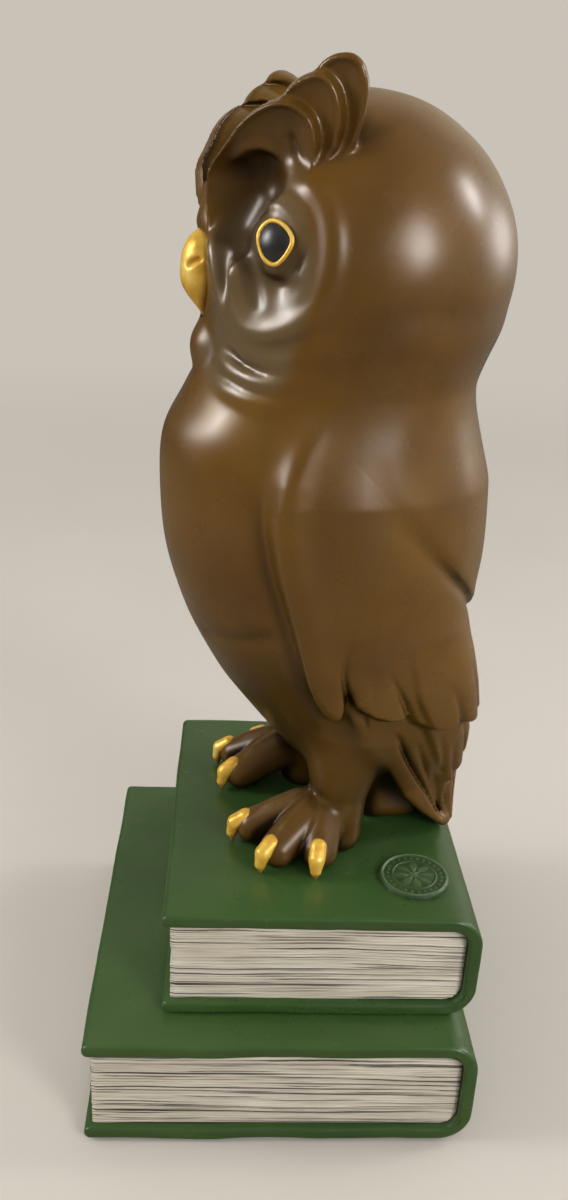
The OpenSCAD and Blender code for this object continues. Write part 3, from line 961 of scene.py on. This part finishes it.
def gilt_material():
    """Gold paint brushed over the casting, with painted shade, darker and orange-brown, in the creases
    where it meets the brown.
    """
    material, tree, shade = shader("gilt")
    colour = ramp(tree, noise(tree, 160, 4), (0.3, (0.66, 0.34, 0.030)), (0.5, (0.88, 0.52, 0.070)),
                  (0.75, (0.98, 0.70, 0.18)))
    # painted shade in the creases round the gilt parts
    dark = ramp(tree, painted(tree, "painted_shade"), (0.35, 0.0), (0.9, 1.0))
    colour = mix(tree, dark, colour, (0.34, 0.13, 0.015))
    dress(tree, shade, Base_Color=colour, Metallic=0.3, Roughness=0.36)
    bump(tree, shade, noise(tree, 500, 4), 0.35, 0.0006)
    return material


def enamel_material():
    """Semi-gloss green over slightly uneven metal, a touch paler along the sharp edges, as painted
    highlight and as wear from handling.
    """
    material, tree, shade = shader("green_enamel")
    colour = ramp(tree, noise(tree, 14, 4), (0.3, (0.029, 0.068, 0.016)), (0.55, (0.041, 0.088, 0.021)),
                  (0.8, (0.060, 0.108, 0.034)))
    specks = ramp(tree, noise(tree, 420, 2), (0.70, 0.0), (0.78, 0.5))
    colour = mix(tree, specks, colour, (0.11, 0.17, 0.08))
    # paler green along the sharp edges: painted edge highlight, and wear
    raised_wear_and_sheen = ramp(tree, add(tree, "ShaderNodeNewGeometry").outputs["Pointiness"], (0.53, 0.0), (0.60, 0.7))
    colour = mix(tree, raised_wear_and_sheen, colour, (0.13, 0.21, 0.11))
    rough = ramp(tree, noise(tree, 45, 4), (0.3, 0.24), (0.7, 0.38))
    dress(tree, shade, Base_Color=colour, Roughness=rough)
    bump(tree, shade, noise(tree, 120, 3), 0.14, 0.0012)
    return material


def seal_material():
    """The cover's green, paler on the high parts of the medallion as wear and painted highlight, and darker
    in its hollows as painted shade.
    """
    material, tree, shade = shader("seal_enamel")
    # by height of the relief: painted shade in the hollows, wear and painted highlight on the high parts
    colour = ramp(tree, painted(tree, "raised_wear_and_sheen"), (0.0, (0.022, 0.046, 0.013)), (0.45, (0.036, 0.074, 0.020)),
                  (0.95, (0.130, 0.185, 0.090)))
    patchy = ramp(tree, noise(tree, 260, 4), (0.4, 0.0), (0.65, 0.7))
    colour = mix(tree, patchy, colour, (0.040, 0.078, 0.022))
    dress(tree, shade, Base_Color=colour, Roughness=0.38)
    bump(tree, shade, noise(tree, 500, 3), 0.2, 0.0004)
    return material


def page_material():
    """Off-white paint with a brown wash left in the grooves."""
    material, tree, shade = shader("page_paint")
    paint = ramp(tree, noise(tree, 70, 4, stretch=(0.5, 0.5, 3.0)), (0.3, (0.54, 0.48, 0.38)),
                 (0.55, (0.67, 0.61, 0.50)), (0.8, (0.79, 0.73, 0.62)))
    wash = ramp(tree, painted(tree, "groove"), (0.22, 0.0), (0.70, 1.0))
    colour = mix(tree, wash, paint, (0.040, 0.030, 0.020))
    dress(tree, shade, Base_Color=colour, Roughness=0.55)
    bump(tree, shade, noise(tree, 300, 3, stretch=(0.3, 0.3, 3.0)), 0.25, 0.0005)
    return material


def eye_material():
    """Dark grey enamel with a hard polish."""
    material, tree, shade = shader("eye_enamel")
    colour = ramp(tree, noise(tree, 200, 2), (0.3, (0.016, 0.015, 0.013)), (0.8, (0.034, 0.032, 0.028)))
    dress(tree, shade, Base_Color=colour, Roughness=0.36, Coat_Weight=0.3, Coat_Roughness=0.22)
    return material


def steel_material():
    """Zinc-plated hardware with turning marks."""
    material, tree, shade = shader("steel")
    colour = ramp(tree, noise(tree, 300, 3), (0.3, (0.42, 0.42, 0.43)), (0.7, (0.60, 0.60, 0.60)))
    dress(tree, shade, Base_Color=colour, Metallic=1.0, Roughness=0.36)
    bump(tree, shade, noise(tree, 900, 2, stretch=(1, 1, 8)), 0.2, 0.0002)
    return material


def felt_material():
    """Dark green felt with matted fibres."""
    material, tree, shade = shader("felt")
    colour = ramp(tree, noise(tree, 900, 4), (0.3, (0.012, 0.028, 0.012)), (0.7, (0.035, 0.070, 0.032)))
    dress(tree, shade, Base_Color=colour, Roughness=0.95, Sheen_Weight=0.4)
    bump(tree, shade, noise(tree, 1800, 3), 0.6, 0.0005)
    return material


BRONZE = bronze_material()
GILT = gilt_material()
ENAMEL = enamel_material()
SEAL_ENAMEL = seal_material()
PAGES = page_material()
EYE = eye_material()
STEEL = steel_material()
FELT_CLOTH = felt_material()

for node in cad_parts.values():
    node.data.materials.clear()
    node.data.materials.append(STEEL)


# ---------------------------------------------------------------- books

def grid_mesh(name, rings, close_ends=True):
    """Skins rings of points, each a closed loop, into one closed smooth mesh in row-frame millimetres."""
    rings = np.array(rings)
    m, n = rings.shape[:2]
    j = np.arange(n)
    faces = []
    for i in range(m - 1):
        a = i * n + j
        b = i * n + (j + 1) % n
        faces.append(np.stack([a, a + n, b + n, b], axis=1))
    faces = np.vstack(faces).tolist()
    if close_ends:
        half = n // 2
        for base, flip in ((0, False), ((m - 1) * n, True)):
            for k in range(half - 1):
                quad = [base + k, base + k + 1, base + n - 2 - k, base + n - 1 - k]
                faces.append(quad[::-1] if flip else quad)
    mesh = bpy.data.meshes.new(name)
    mesh.from_pydata((rings.reshape(-1, 3) * MM).tolist(), [], faces)
    mesh.polygons.foreach_set("use_smooth", np.ones(len(faces), bool))
    mesh.update()
    made = bpy.data.objects.new(name, mesh)
    bpy.context.scene.collection.objects.link(made)
    return made


def value_noise(x, y, seed):
    """Smooth noise from -1 to 1 on a unit lattice."""
    def corner(i, j):
        h = (i * 374761393 + j * 668265263 + seed * 974634777) & 0xFFFFFFFF
        h = ((h ^ (h >> 13)) * 1274126177) & 0xFFFFFFFF
        return ((h ^ (h >> 16)) & 0xFFFF) / 32767.5 - 1
    xi, yi = np.floor(x).astype(np.int64), np.floor(y).astype(np.int64)
    fx, fy = x - xi, y - yi
    fx, fy = fx * fx * (3 - 2 * fx), fy * fy * (3 - 2 * fy)
    top = corner(xi, yi) * (1 - fx) + corner(xi + 1, yi) * fx
    low = corner(xi, yi + 1) * (1 - fx) + corner(xi + 1, yi + 1) * fx
    return top * (1 - fy) + low * fy


BOARD_T = 4.2
SPINE_R = 10.0
EDGE_R = 1.1


def case_path(lo, hi):
    """Middle line of a case's board in y and z, from the lower fore-edge round the spine to the upper."""
    half = BOARD_T / 2
    r = SPINE_R - half
    y0, y1 = lo[1] + half, hi[1] - half
    z0, z1 = lo[2] + half, hi[2] - half
    flat = np.linspace(y0, y1 - r, 40)
    turn = np.radians(np.linspace(0, 90, 14))[1:]
    path = [(y, z0, 0, -1) for y in flat]
    path += [(y1 - r + r * math.sin(a), z0 + r - r * math.cos(a), math.sin(a), -math.cos(a)) for a in turn]
    path += [(y1, z, 1, 0) for z in np.linspace(z0 + r, z1 - r, 8)[1:]]
    path += [(y1 - r + r * math.cos(a), z1 - r + r * math.sin(a), math.cos(a), math.sin(a)) for a in turn]
    path += [(y, z1, 0, 1) for y in flat[::-1][1:]]
    return np.array(path)


def book_case(name, lo, hi, seed):
    """One board wrapped round the pages: rounded edges, and faces as uneven as a cast and filed one."""
    path = case_path(lo, hi)
    half = BOARD_T / 2
    nose = np.radians(np.linspace(-90, 90, 9)[1:-1])
    start_dir = np.array([-1.0, 0.0])

    def loop(shrink):
        h = half - shrink
        outer = path[:, :2] + path[:, 2:] * h
        inner = path[:, :2] - path[:, 2:] * h
        round_nose = np.outer(np.cos(nose), start_dir) * h
        first, last = [path[k, :2] + round_nose + np.outer(np.sin(nose), path[k, 2:]) * h for k in (0, -1)]
        return np.vstack([outer, last[::-1], inner[::-1], first])

    rounding = np.radians(np.linspace(0, 90, 5))
    ends = [(EDGE_R * (1 - math.cos(a)), EDGE_R * (1 - math.sin(a))) for a in rounding]
    stations = [(lo[0] + e, s) for e, s in ends]
    stations += [(x, 0.0) for x in np.linspace(lo[0] + EDGE_R, hi[0] - EDGE_R, 70)[1:-1]]
    stations += [(hi[0] - e, s) for e, s in reversed(ends)]
    rings = []
    for x, shrink in stations:
        yz = loop(shrink)
        rings.append(np.column_stack([np.full(len(yz), x), yz]))
    rings = np.array(rings)
    x, y, z = rings[..., 0], rings[..., 1], rings[..., 2]
    inside = (hi[1] - y > 0.01) & (y - lo[1] > -1)
    wave = 0.34 * value_noise(x / 26 + 3.1, y / 24 + seed, seed)
    wave = wave + 0.16 * value_noise(x / 9, y / 9 + 7.7, seed + 5)
    edge = 0.30 * value_noise(y / 17 + 11.3, z / 15, seed + 9)
    edge = edge + 0.14 * value_noise(y / 6, z / 6 + 2.2, seed + 3)
    middle_x = (lo[0] + hi[0]) / 2
    to_end = (hi[0] - lo[0]) / 2 - np.abs(x - middle_x)
    away = np.where(x > middle_x, 1, -1) * np.clip(1 - to_end / 6, 0, 1)
    rings[..., 2] = np.clip(z + wave * inside, lo[2], None)
    rings[..., 0] = x + (edge - 0.3) * away
    fore = np.clip((lo[1] + 6 - y) / 6, 0, 1)
    rings[..., 1] = y + fore * (0.15 + 0.2 * value_noise(x / 19 + 4.4, z / 14 + 1.7, seed + 2))
    return grid_mesh(name, rings)


# Scores of the pages: pitch, half width, darkness, and length of the stretches that come and go
SCORES = [(1.9, 0.20, 1.0, 46), (1.13, 0.14, 0.85, 24), (0.67, 0.11, 0.55, 12)]


def page_block(name, lo, hi, seed):
    """A block of pages scored with uneven lines on its open sides; a brown wash sits in the scores."""
    rows = 220
    step_s = 1.3
    x0, x1, y0, y1 = lo[0], hi[0], lo[1], hi[1]
    outline = []
    for a, b in (((x1, y1), (x1, y0)), ((x1, y0), (x0, y0)), ((x0, y0), (x0, y1)), ((x0, y1), (x1, y1))):
        a, b = np.array(a), np.array(b)
        length = np.linalg.norm(b - a)
        n = int(length / step_s)
        way = (b - a) / length
        out = np.array([-way[1], way[0]]) * -1
        for k in range(n):
            outline.append([*(a + way * length * k / n), *out])
    outline = np.array(outline)
    n = len(outline)
    s = np.arange(n) * step_s
    z = np.linspace(lo[2], hi[2], rows)
    grid_s, grid_z = np.meshgrid(s, z)
    bend = 0.7 * value_noise(grid_s / 40, grid_z / 12, seed + 1)
    bend = bend + 0.2 * value_noise(grid_s / 14, grid_z / 3, seed + 6)
    groove = np.zeros_like(grid_s)
    for pitch, width, weight, torn in SCORES:
        leaf = (grid_z + bend) / pitch
        score = np.exp(-((leaf % 1 - 0.5) * pitch / width) ** 2)
        present = 0.42 + 1.6 * value_noise(grid_s / torn, np.floor(leaf) * 7 + 0.5, seed + 2)
        present = np.clip(present, 0, 1)
        groove = np.maximum(groove, weight * score * present)
    stain = np.clip(value_noise(grid_s / 21 + 9, grid_z / 2.3, seed + 4) - 0.25, 0, 1)
    groove = np.clip(groove + 0.25 * stain, 0, 1)
    depth = 0.12 + 0.6 * groove
    height = (2 * grid_z - lo[2] - hi[2]) / (hi[2] - lo[2])
    hollow = 1.2 * (1 - height ** 2) * (outline[:, 3] < -0.5)
    px = outline[:, 0] - outline[:, 2] * depth
    py = outline[:, 1] - outline[:, 3] * (depth + hollow)
    round_spine = SPINE_R - BOARD_T - 0.2
    from_top = np.minimum(grid_z - lo[2], hi[2] - grid_z)
    corner = np.clip(round_spine - from_top, 0, round_spine)
    pull = round_spine - np.sqrt(np.maximum(round_spine ** 2 - corner ** 2, 0))
    limit = y1 - pull - 0.05
    py = np.minimum(py, limit)
    rings = np.stack([px, py, grid_z + 0 * px], axis=2)
    made = grid_mesh(name, rings, close_ends=False)
    mesh = made.data
    attribute = mesh.attributes.new("groove", "FLOAT", "POINT")
    attribute.data.foreach_set("value", groove.astype(np.float32).ravel())
    cap_ends(mesh, n, rows)
    return made


def cap_ends(mesh, n, rows):
    """Closes the first and last ring of a ring mesh."""
    bm = bmesh.new()
    bm.from_mesh(mesh)
    bm.verts.ensure_lookup_table()
    bm.faces.new([bm.verts[k] for k in range(n)])
    bm.faces.new([bm.verts[(rows - 1) * n + k] for k in reversed(range(n))])
    bmesh.ops.recalc_face_normals(bm, faces=bm.faces)
    bm.to_mesh(mesh)
    bm.free()


def foundry_seal(name, lo, hi):
    """A cast medallion with a beaded border round an eight-petalled flower, paler on its high parts as wear
    and painted highlight.
    """
    centre = (lo + hi) / 2
    radius = (hi[0] - lo[0]) / 2
    turns = np.radians(np.arange(0, 360, 2))
    flat_z = hi[2] - 0.55

    def relief(r, a):
        ring = 0.50 * math.exp(-((r - 0.92 * radius) / 0.45) ** 2)
        ring += 0.30 * math.exp(-((r - 0.62 * radius) / 0.28) ** 2)
        beads = np.maximum(np.cos(a * 26), 0) ** 0.7 * math.exp(-((r - 0.77 * radius) / 0.55) ** 2) * 0.34
        petal = 0.34 * np.clip(np.abs(np.cos(4 * a)) * 1.2 - abs(r / radius - 0.30) * 3.4, 0, 1) ** 0.6
        boss = 0.45 * math.exp(-(r / (0.10 * radius)) ** 2)
        return np.minimum(ring + beads + petal * (r < 0.58 * radius) + boss, 0.55)

    rings, raised_wear_and_sheen = [], []
    for r, z in ((radius, lo[2]), (radius, flat_z - 0.1)):
        rings.append(np.column_stack([r * np.cos(turns), r * np.sin(turns), np.full(len(turns), z)]))
        raised_wear_and_sheen.append(np.zeros(len(turns)))
    for r in np.linspace(radius - 0.15, 0.1, 72):
        h = relief(r, turns)
        rings.append(np.column_stack([r * np.cos(turns), r * np.sin(turns), flat_z + h]))
        # height of the relief, 0 to 1: painted shade low down, wear and painted highlight high up
        raised_wear_and_sheen.append(h / 0.55)
    rings = np.array(rings)
    x, y = rings[..., 0], rings[..., 1]
    rings[..., 2] += 0.06 * value_noise(x / 1.7 + 5, y / 1.7, 21) * (rings[..., 2] > flat_z - 0.05)
    rings[..., :2] += centre[:2]
    made = grid_mesh(name, rings, close_ends=False)
    attribute = made.data.attributes.new("raised_wear_and_sheen", "FLOAT", "POINT")
    attribute.data.foreach_set("value", np.array(raised_wear_and_sheen, np.float32).ravel())
    cap_ends(made.data, len(turns), len(rings))
    return made


def felt_sheet(name, lo, hi):
    """The pad under the lower book, cut with rounded corners and slightly frayed."""
    corner, inset = 3.0, 0.25
    outline = []
    for cx, cy, start in ((hi[0], hi[1], 0), (lo[0], hi[1], 90), (lo[0], lo[1], 180), (hi[0], lo[1], 270)):
        sx = cx - corner * np.sign(cx - (lo[0] + hi[0]) / 2)
        sy = cy - corner * np.sign(cy - (lo[1] + hi[1]) / 2)
        for a in np.radians(start + np.linspace(0, 90, 9)):
            outline.append((sx + corner * math.cos(a), sy + corner * math.sin(a)))
    outline = np.array(outline + outline[:1])
    dense = [a + (b - a) * t for a, b in zip(outline, outline[1:])
             for t in np.arange(0, 1, min(1, 1.5 / max(np.linalg.norm(b - a), 1.5)))]
    dense = np.array(dense)
    middle = (lo[:2] + hi[:2]) / 2
    out = (dense - middle) / np.linalg.norm(dense - middle, axis=1)[:, None]
    fray = 0.12 * value_noise(dense[:, 0] / 1.3, dense[:, 1] / 1.3, 31) - 0.12
    rings = []
    for z, back in ((lo[2], inset), (lo[2] + 0.25, 0), (hi[2] - 0.25, 0), (hi[2], inset)):
        edge = dense + out * (fray - back)[:, None]
        rings.append(np.column_stack([edge, np.full(len(edge), z)]))
    made = grid_mesh(name, rings, close_ends=False)
    cap_ends(made.data, len(dense), len(rings))
    return made


place(book_case("lower_case", *LOWER, 1), ENAMEL, "lower_book_case")
place(book_case("upper_case", *UPPER, 2), ENAMEL, "upper_book_case")
place(page_block("lower_pages", *LOWER_PAGES, 3), PAGES, "lower_page_block")
place(page_block("upper_pages", *UPPER_PAGES, 4), PAGES, "upper_page_block")

place(foundry_seal("seal_medallion", *SEAL), SEAL_ENAMEL, "foundry_seal")
place(felt_sheet("felt_sheet", *FELT), FELT_CLOTH, "felt_pad")

# ---------------------------------------------------------------- castings of the owl

BODY_VOXEL = 0.8
FEATHER_VOXEL = 0.6
TUFT_VOXEL = 0.5
GILT_VOXEL = 0.45
RIM_VOXEL = 0.4
EYE_BOX = (-40, 176), (-14, 200)  # lowest and highest y and z round an eye


def cast(name, node, field, lo, hi, voxel, slack=1.3):
    place(solid(name, field, lo, hi, voxel, slack), BRONZE, node)


cast("body_casting", "owl_body", body_field, (-56, -56, 4), (56, 56, 236), BODY_VOXEL)
for side, word in ((1, "left"), (-1, "right")):
    near, far = (0, 56) if side > 0 else (-56, 0)
    wing = piece_of(wing_region(side), 5.0)
    cast(f"wing_{word}_casting", "wing_" + word, wing, (near, -40, 36), (far, 56, 160), FEATHER_VOXEL)
    toes = piece_of(foot_region(side), 60)
    cast(f"foot_{word}_casting", "foot_" + word, toes, (near - 2, -36, -1), (far + 2, 34, 26),
         FEATHER_VOXEL)
    brow = piece_of(tuft_region(side), 60)
    cast(f"tuft_{word}_casting", "brow_tuft_" + word, brow, (near, -52, 184), (far, 10, 238),
         TUFT_VOXEL, 2.6)
    near, far = (2, 56) if side > 0 else (-56, -2)
    claws = solid(f"talons_{word}_gilt", talons(side), (near, -36, -1), (far, 4, 14), GILT_VOXEL)
    place(claws, GILT, "talons_" + word)
    low, high = (near, *EYE_BOX[0]), (far, *EYE_BOX[1])
    place(solid(f"eye_rim_{word}_gilt", eye_rim, low, high, RIM_VOXEL), GILT, "eye_rim_" + word)
    place(solid(f"eye_{word}_dome", eye_ball, low, high, GILT_VOXEL), EYE, "eye_" + word)
cast("tail_casting", "tail", piece_of(tail_region, 60), (-42, -12, -1), (42, 54, 66), FEATHER_VOXEL)
place(solid("beak_gilt", beak, (-12, -50, 160), (12, -34, 194), GILT_VOXEL), GILT, "beak")

# ---------------------------------------------------------------- stage

FLOOR_SIZE = 14.0  # metres
FLOOR_COLOUR = (0.585, 0.540, 0.480)
BACKDROP = (0.585, 0.540, 0.478)
ROOM_COLOUR = (0.95, 0.85, 0.69)  # of the dim room that the lacquer mirrors
ROOM_WALL = 0.60  # brightness of that room's pale wall, which the spines face
# Pale walls of the mirrored room: direction, cosine at which each starts, its brightness there and full on
SPINE_WALL = (-0.09, 0.97, 0.22), 0.15, 0.05, ROOM_WALL
FAR_WALL = (-0.88, 0.1, 0.46), 0.70, 0.0, 0.40


def walls(tree, way, sign):
    """Brightness of the mirrored room; sign is -1 for a way that points back to where the ray came from."""
    bright = []
    for facing, start, dark, light in (SPINE_WALL, FAR_WALL):
        facing = tuple(sign * c for c in facing)
        along = combine(tree, "ShaderNodeVectorMath", way, facing, operation="DOT_PRODUCT")
        bright.append(ease(tree, along.outputs["Value"], start, 0.97, dark, light))
    return combine(tree, "ShaderNodeMath", *bright, operation="ADD").outputs[0]


def stage():
    """A pale floor that turns into the backdrop's own colour away from the object, like a paper sweep.

    It throws back less light than it shows, so that the owl's underside stays dark. Seen in the lacquer, it
    takes on the brightness of the walls at a low angle, so that their foot makes no hard line.
    """
    bpy.ops.mesh.primitive_plane_add(size=1)
    floor = bpy.context.object
    floor.name = "floor"
    floor.scale = (FLOOR_SIZE, FLOOR_SIZE, 1)
    material, tree, shade = shader("floor")
    darker = tuple(0.95 * c for c in FLOOR_COLOUR)
    colour = ramp(tree, noise(tree, 5, 3), (0.3, darker), (0.7, FLOOR_COLOUR))
    path = add(tree, "ShaderNodeLightPath").outputs
    bounce = mix(tree, path["Is Camera Ray"], (0.22, 0.188, 0.145), colour)
    dress(tree, shade, Base_Color=bounce, Roughness=0.85, Specular_IOR_Level=0.2)
    here = add(tree, "ShaderNodeNewGeometry").outputs
    away = add(tree, "ShaderNodeVectorMath", operation="LENGTH")
    tree.links.new(here["Position"], away.inputs[0])
    far = ease(tree, away.outputs["Value"], 0.2, 1.3, 0.0, 1.0)
    seen = combine(tree, "ShaderNodeMath", far, path["Is Camera Ray"], operation="MULTIPLY")
    sweep = add(tree, "ShaderNodeEmission", Color=(*BACKDROP, 1))
    plain = blend(tree, seen.outputs[0], shade.outputs[0], sweep.outputs[0])
    steep = add(tree, "ShaderNodeSeparateXYZ")
    tree.links.new(here["Incoming"], steep.inputs[0])
    low = ease(tree, steep.outputs["Z"], 0.0, 0.45, 1.0, 0.0)
    mirrored = combine(tree, "ShaderNodeMath", low, path["Is Glossy Ray"], operation="MULTIPLY")
    glow = add(tree, "ShaderNodeEmission", Color=(*ROOM_COLOUR, 1))
    tree.links.new(walls(tree, here["Incoming"], -1), glow.inputs["Strength"])
    both = blend(tree, mirrored.outputs[0], plain, glow.outputs[0])
    tree.links.new(both, tree.nodes["Material Output"].inputs["Surface"])
    floor.data.materials.append(material)


def fade_out(data):
    """Dims a light towards its edge, as a diffuser does, so that its mirror image has no hard border."""
    data.use_nodes = True
    tree = data.node_tree
    spot = add(tree, "ShaderNodeNewGeometry").outputs["Parametric"]
    across = combine(tree, "ShaderNodeVectorMath", spot, (0.5, 0.5, 0), operation="SUBTRACT")
    off = add(tree, "ShaderNodeVectorMath", operation="LENGTH")
    tree.links.new(across.outputs[0], off.inputs[0])
    bright = ease(tree, off.outputs["Value"], 0.12, 0.5, 2.6, 0.0)
    tree.links.new(bright, tree.nodes["Emission"].inputs["Strength"])


def softbox(name, azimuth, elevation, distance, size, power, mirrored_too=True):
    """A light aimed at the owl's breast from a direction in degrees; size is width and height."""
    a, e = math.radians(azimuth), math.radians(elevation)
    target = Vector((0, 0, 0.2))
    away = Vector((math.cos(a) * math.cos(e), math.sin(a) * math.cos(e), math.sin(e)))
    data = bpy.data.lights.new(name, "AREA")
    data.energy = power
    data.shape = "RECTANGLE"
    data.size, data.size_y = size
    fade_out(data)
    lamp = bpy.data.objects.new(name, data)
    lamp.visible_glossy = mirrored_too
    lamp.location = target + away * distance
    lamp.rotation_euler = (-away).to_track_quat("-Z", "Y").to_euler()
    bpy.context.scene.collection.objects.link(lamp)


def studio_world():
    """Even light all round; the lacquer mirrors the dim room, and the camera sees the backdrop."""
    world = bpy.data.worlds.new("studio")
    world.use_nodes = True
    tree = world.node_tree
    room = tree.nodes["Background"]
    room.inputs["Color"].default_value = (1.0, 0.98, 0.95, 1)
    room.inputs["Strength"].default_value = 0.55
    dim = add(tree, "ShaderNodeBackground", Color=(*ROOM_COLOUR, 1))
    way = add(tree, "ShaderNodeTexCoord").outputs["Generated"]
    tree.links.new(walls(tree, way, 1), dim.inputs["Strength"])
    pale = add(tree, "ShaderNodeBackground", Color=(*BACKDROP, 1), Strength=1.0)
    path = add(tree, "ShaderNodeLightPath").outputs
    seen = blend(tree, path["Is Glossy Ray"], room.outputs[0], dim.outputs[0])
    seen = blend(tree, path["Is Camera Ray"], seen, pale.outputs[0])
    tree.links.new(seen, tree.nodes["World Output"].inputs["Surface"])
    bpy.context.scene.world = world


EYE_POINT = Vector((0.30945, -0.01856, 0.28408))  # of the camera, in metres
PITCH, YAW, ROLL = 0.399, -0.053, 0.047  # radians below the horizon, round from -X, and clockwise
LENS = 31.94  # mm, on a sensor 36 mm wide


def camera():
    """Close and above the owl's left side, at the eye of someone standing at the desk."""
    data = bpy.data.cameras.new("camera")
    data.sensor_width = 36
    data.lens = LENS
    data.clip_start = 0.01
    cam = bpy.data.objects.new("camera", data)
    look = -Vector((math.cos(PITCH) * math.cos(YAW), math.cos(PITCH) * math.sin(YAW), math.sin(PITCH)))
    right = look.cross(Vector((0, 0, 1))).normalized()
    up = right.cross(look)
    right, up = (right * math.cos(ROLL) + up * math.sin(ROLL), up * math.cos(ROLL) - right * math.sin(ROLL))
    cam.matrix_world = Matrix((
        (right.x, up.x, -look.x, EYE_POINT.x),
        (right.y, up.y, -look.y, EYE_POINT.y),
        (right.z, up.z, -look.z, EYE_POINT.z),
        (0, 0, 0, 1),
    ))
    bpy.context.scene.collection.objects.link(cam)
    bpy.context.scene.camera = cam


stage()
camera()
studio_world()
# Name, direction, distance, size and watts of each light
softbox("ceiling", 20, 80, 1.9, (2.0, 2.0), 3, mirrored_too=False)
softbox("window", 38, 19, 1.15, (0.50, 0.75), 7.0)
softbox("window_pane", 98, 32, 1.0, (0.24, 0.42), 2.6)
softbox("back_window", 114, 11, 1.1, (0.80, 0.52), 2.4)
softbox("side_strip", -86, 26, 1.0, (0.24, 0.50), 2.8)
softbox("side_wall", -88, 20, 1.2, (1.0, 0.75), 6.0)
softbox("front_fill", -12, 40, 1.6, (1.6, 1.2), 2.6, mirrored_too=False)
bpy.context.scene.view_settings.view_transform = "Standard"
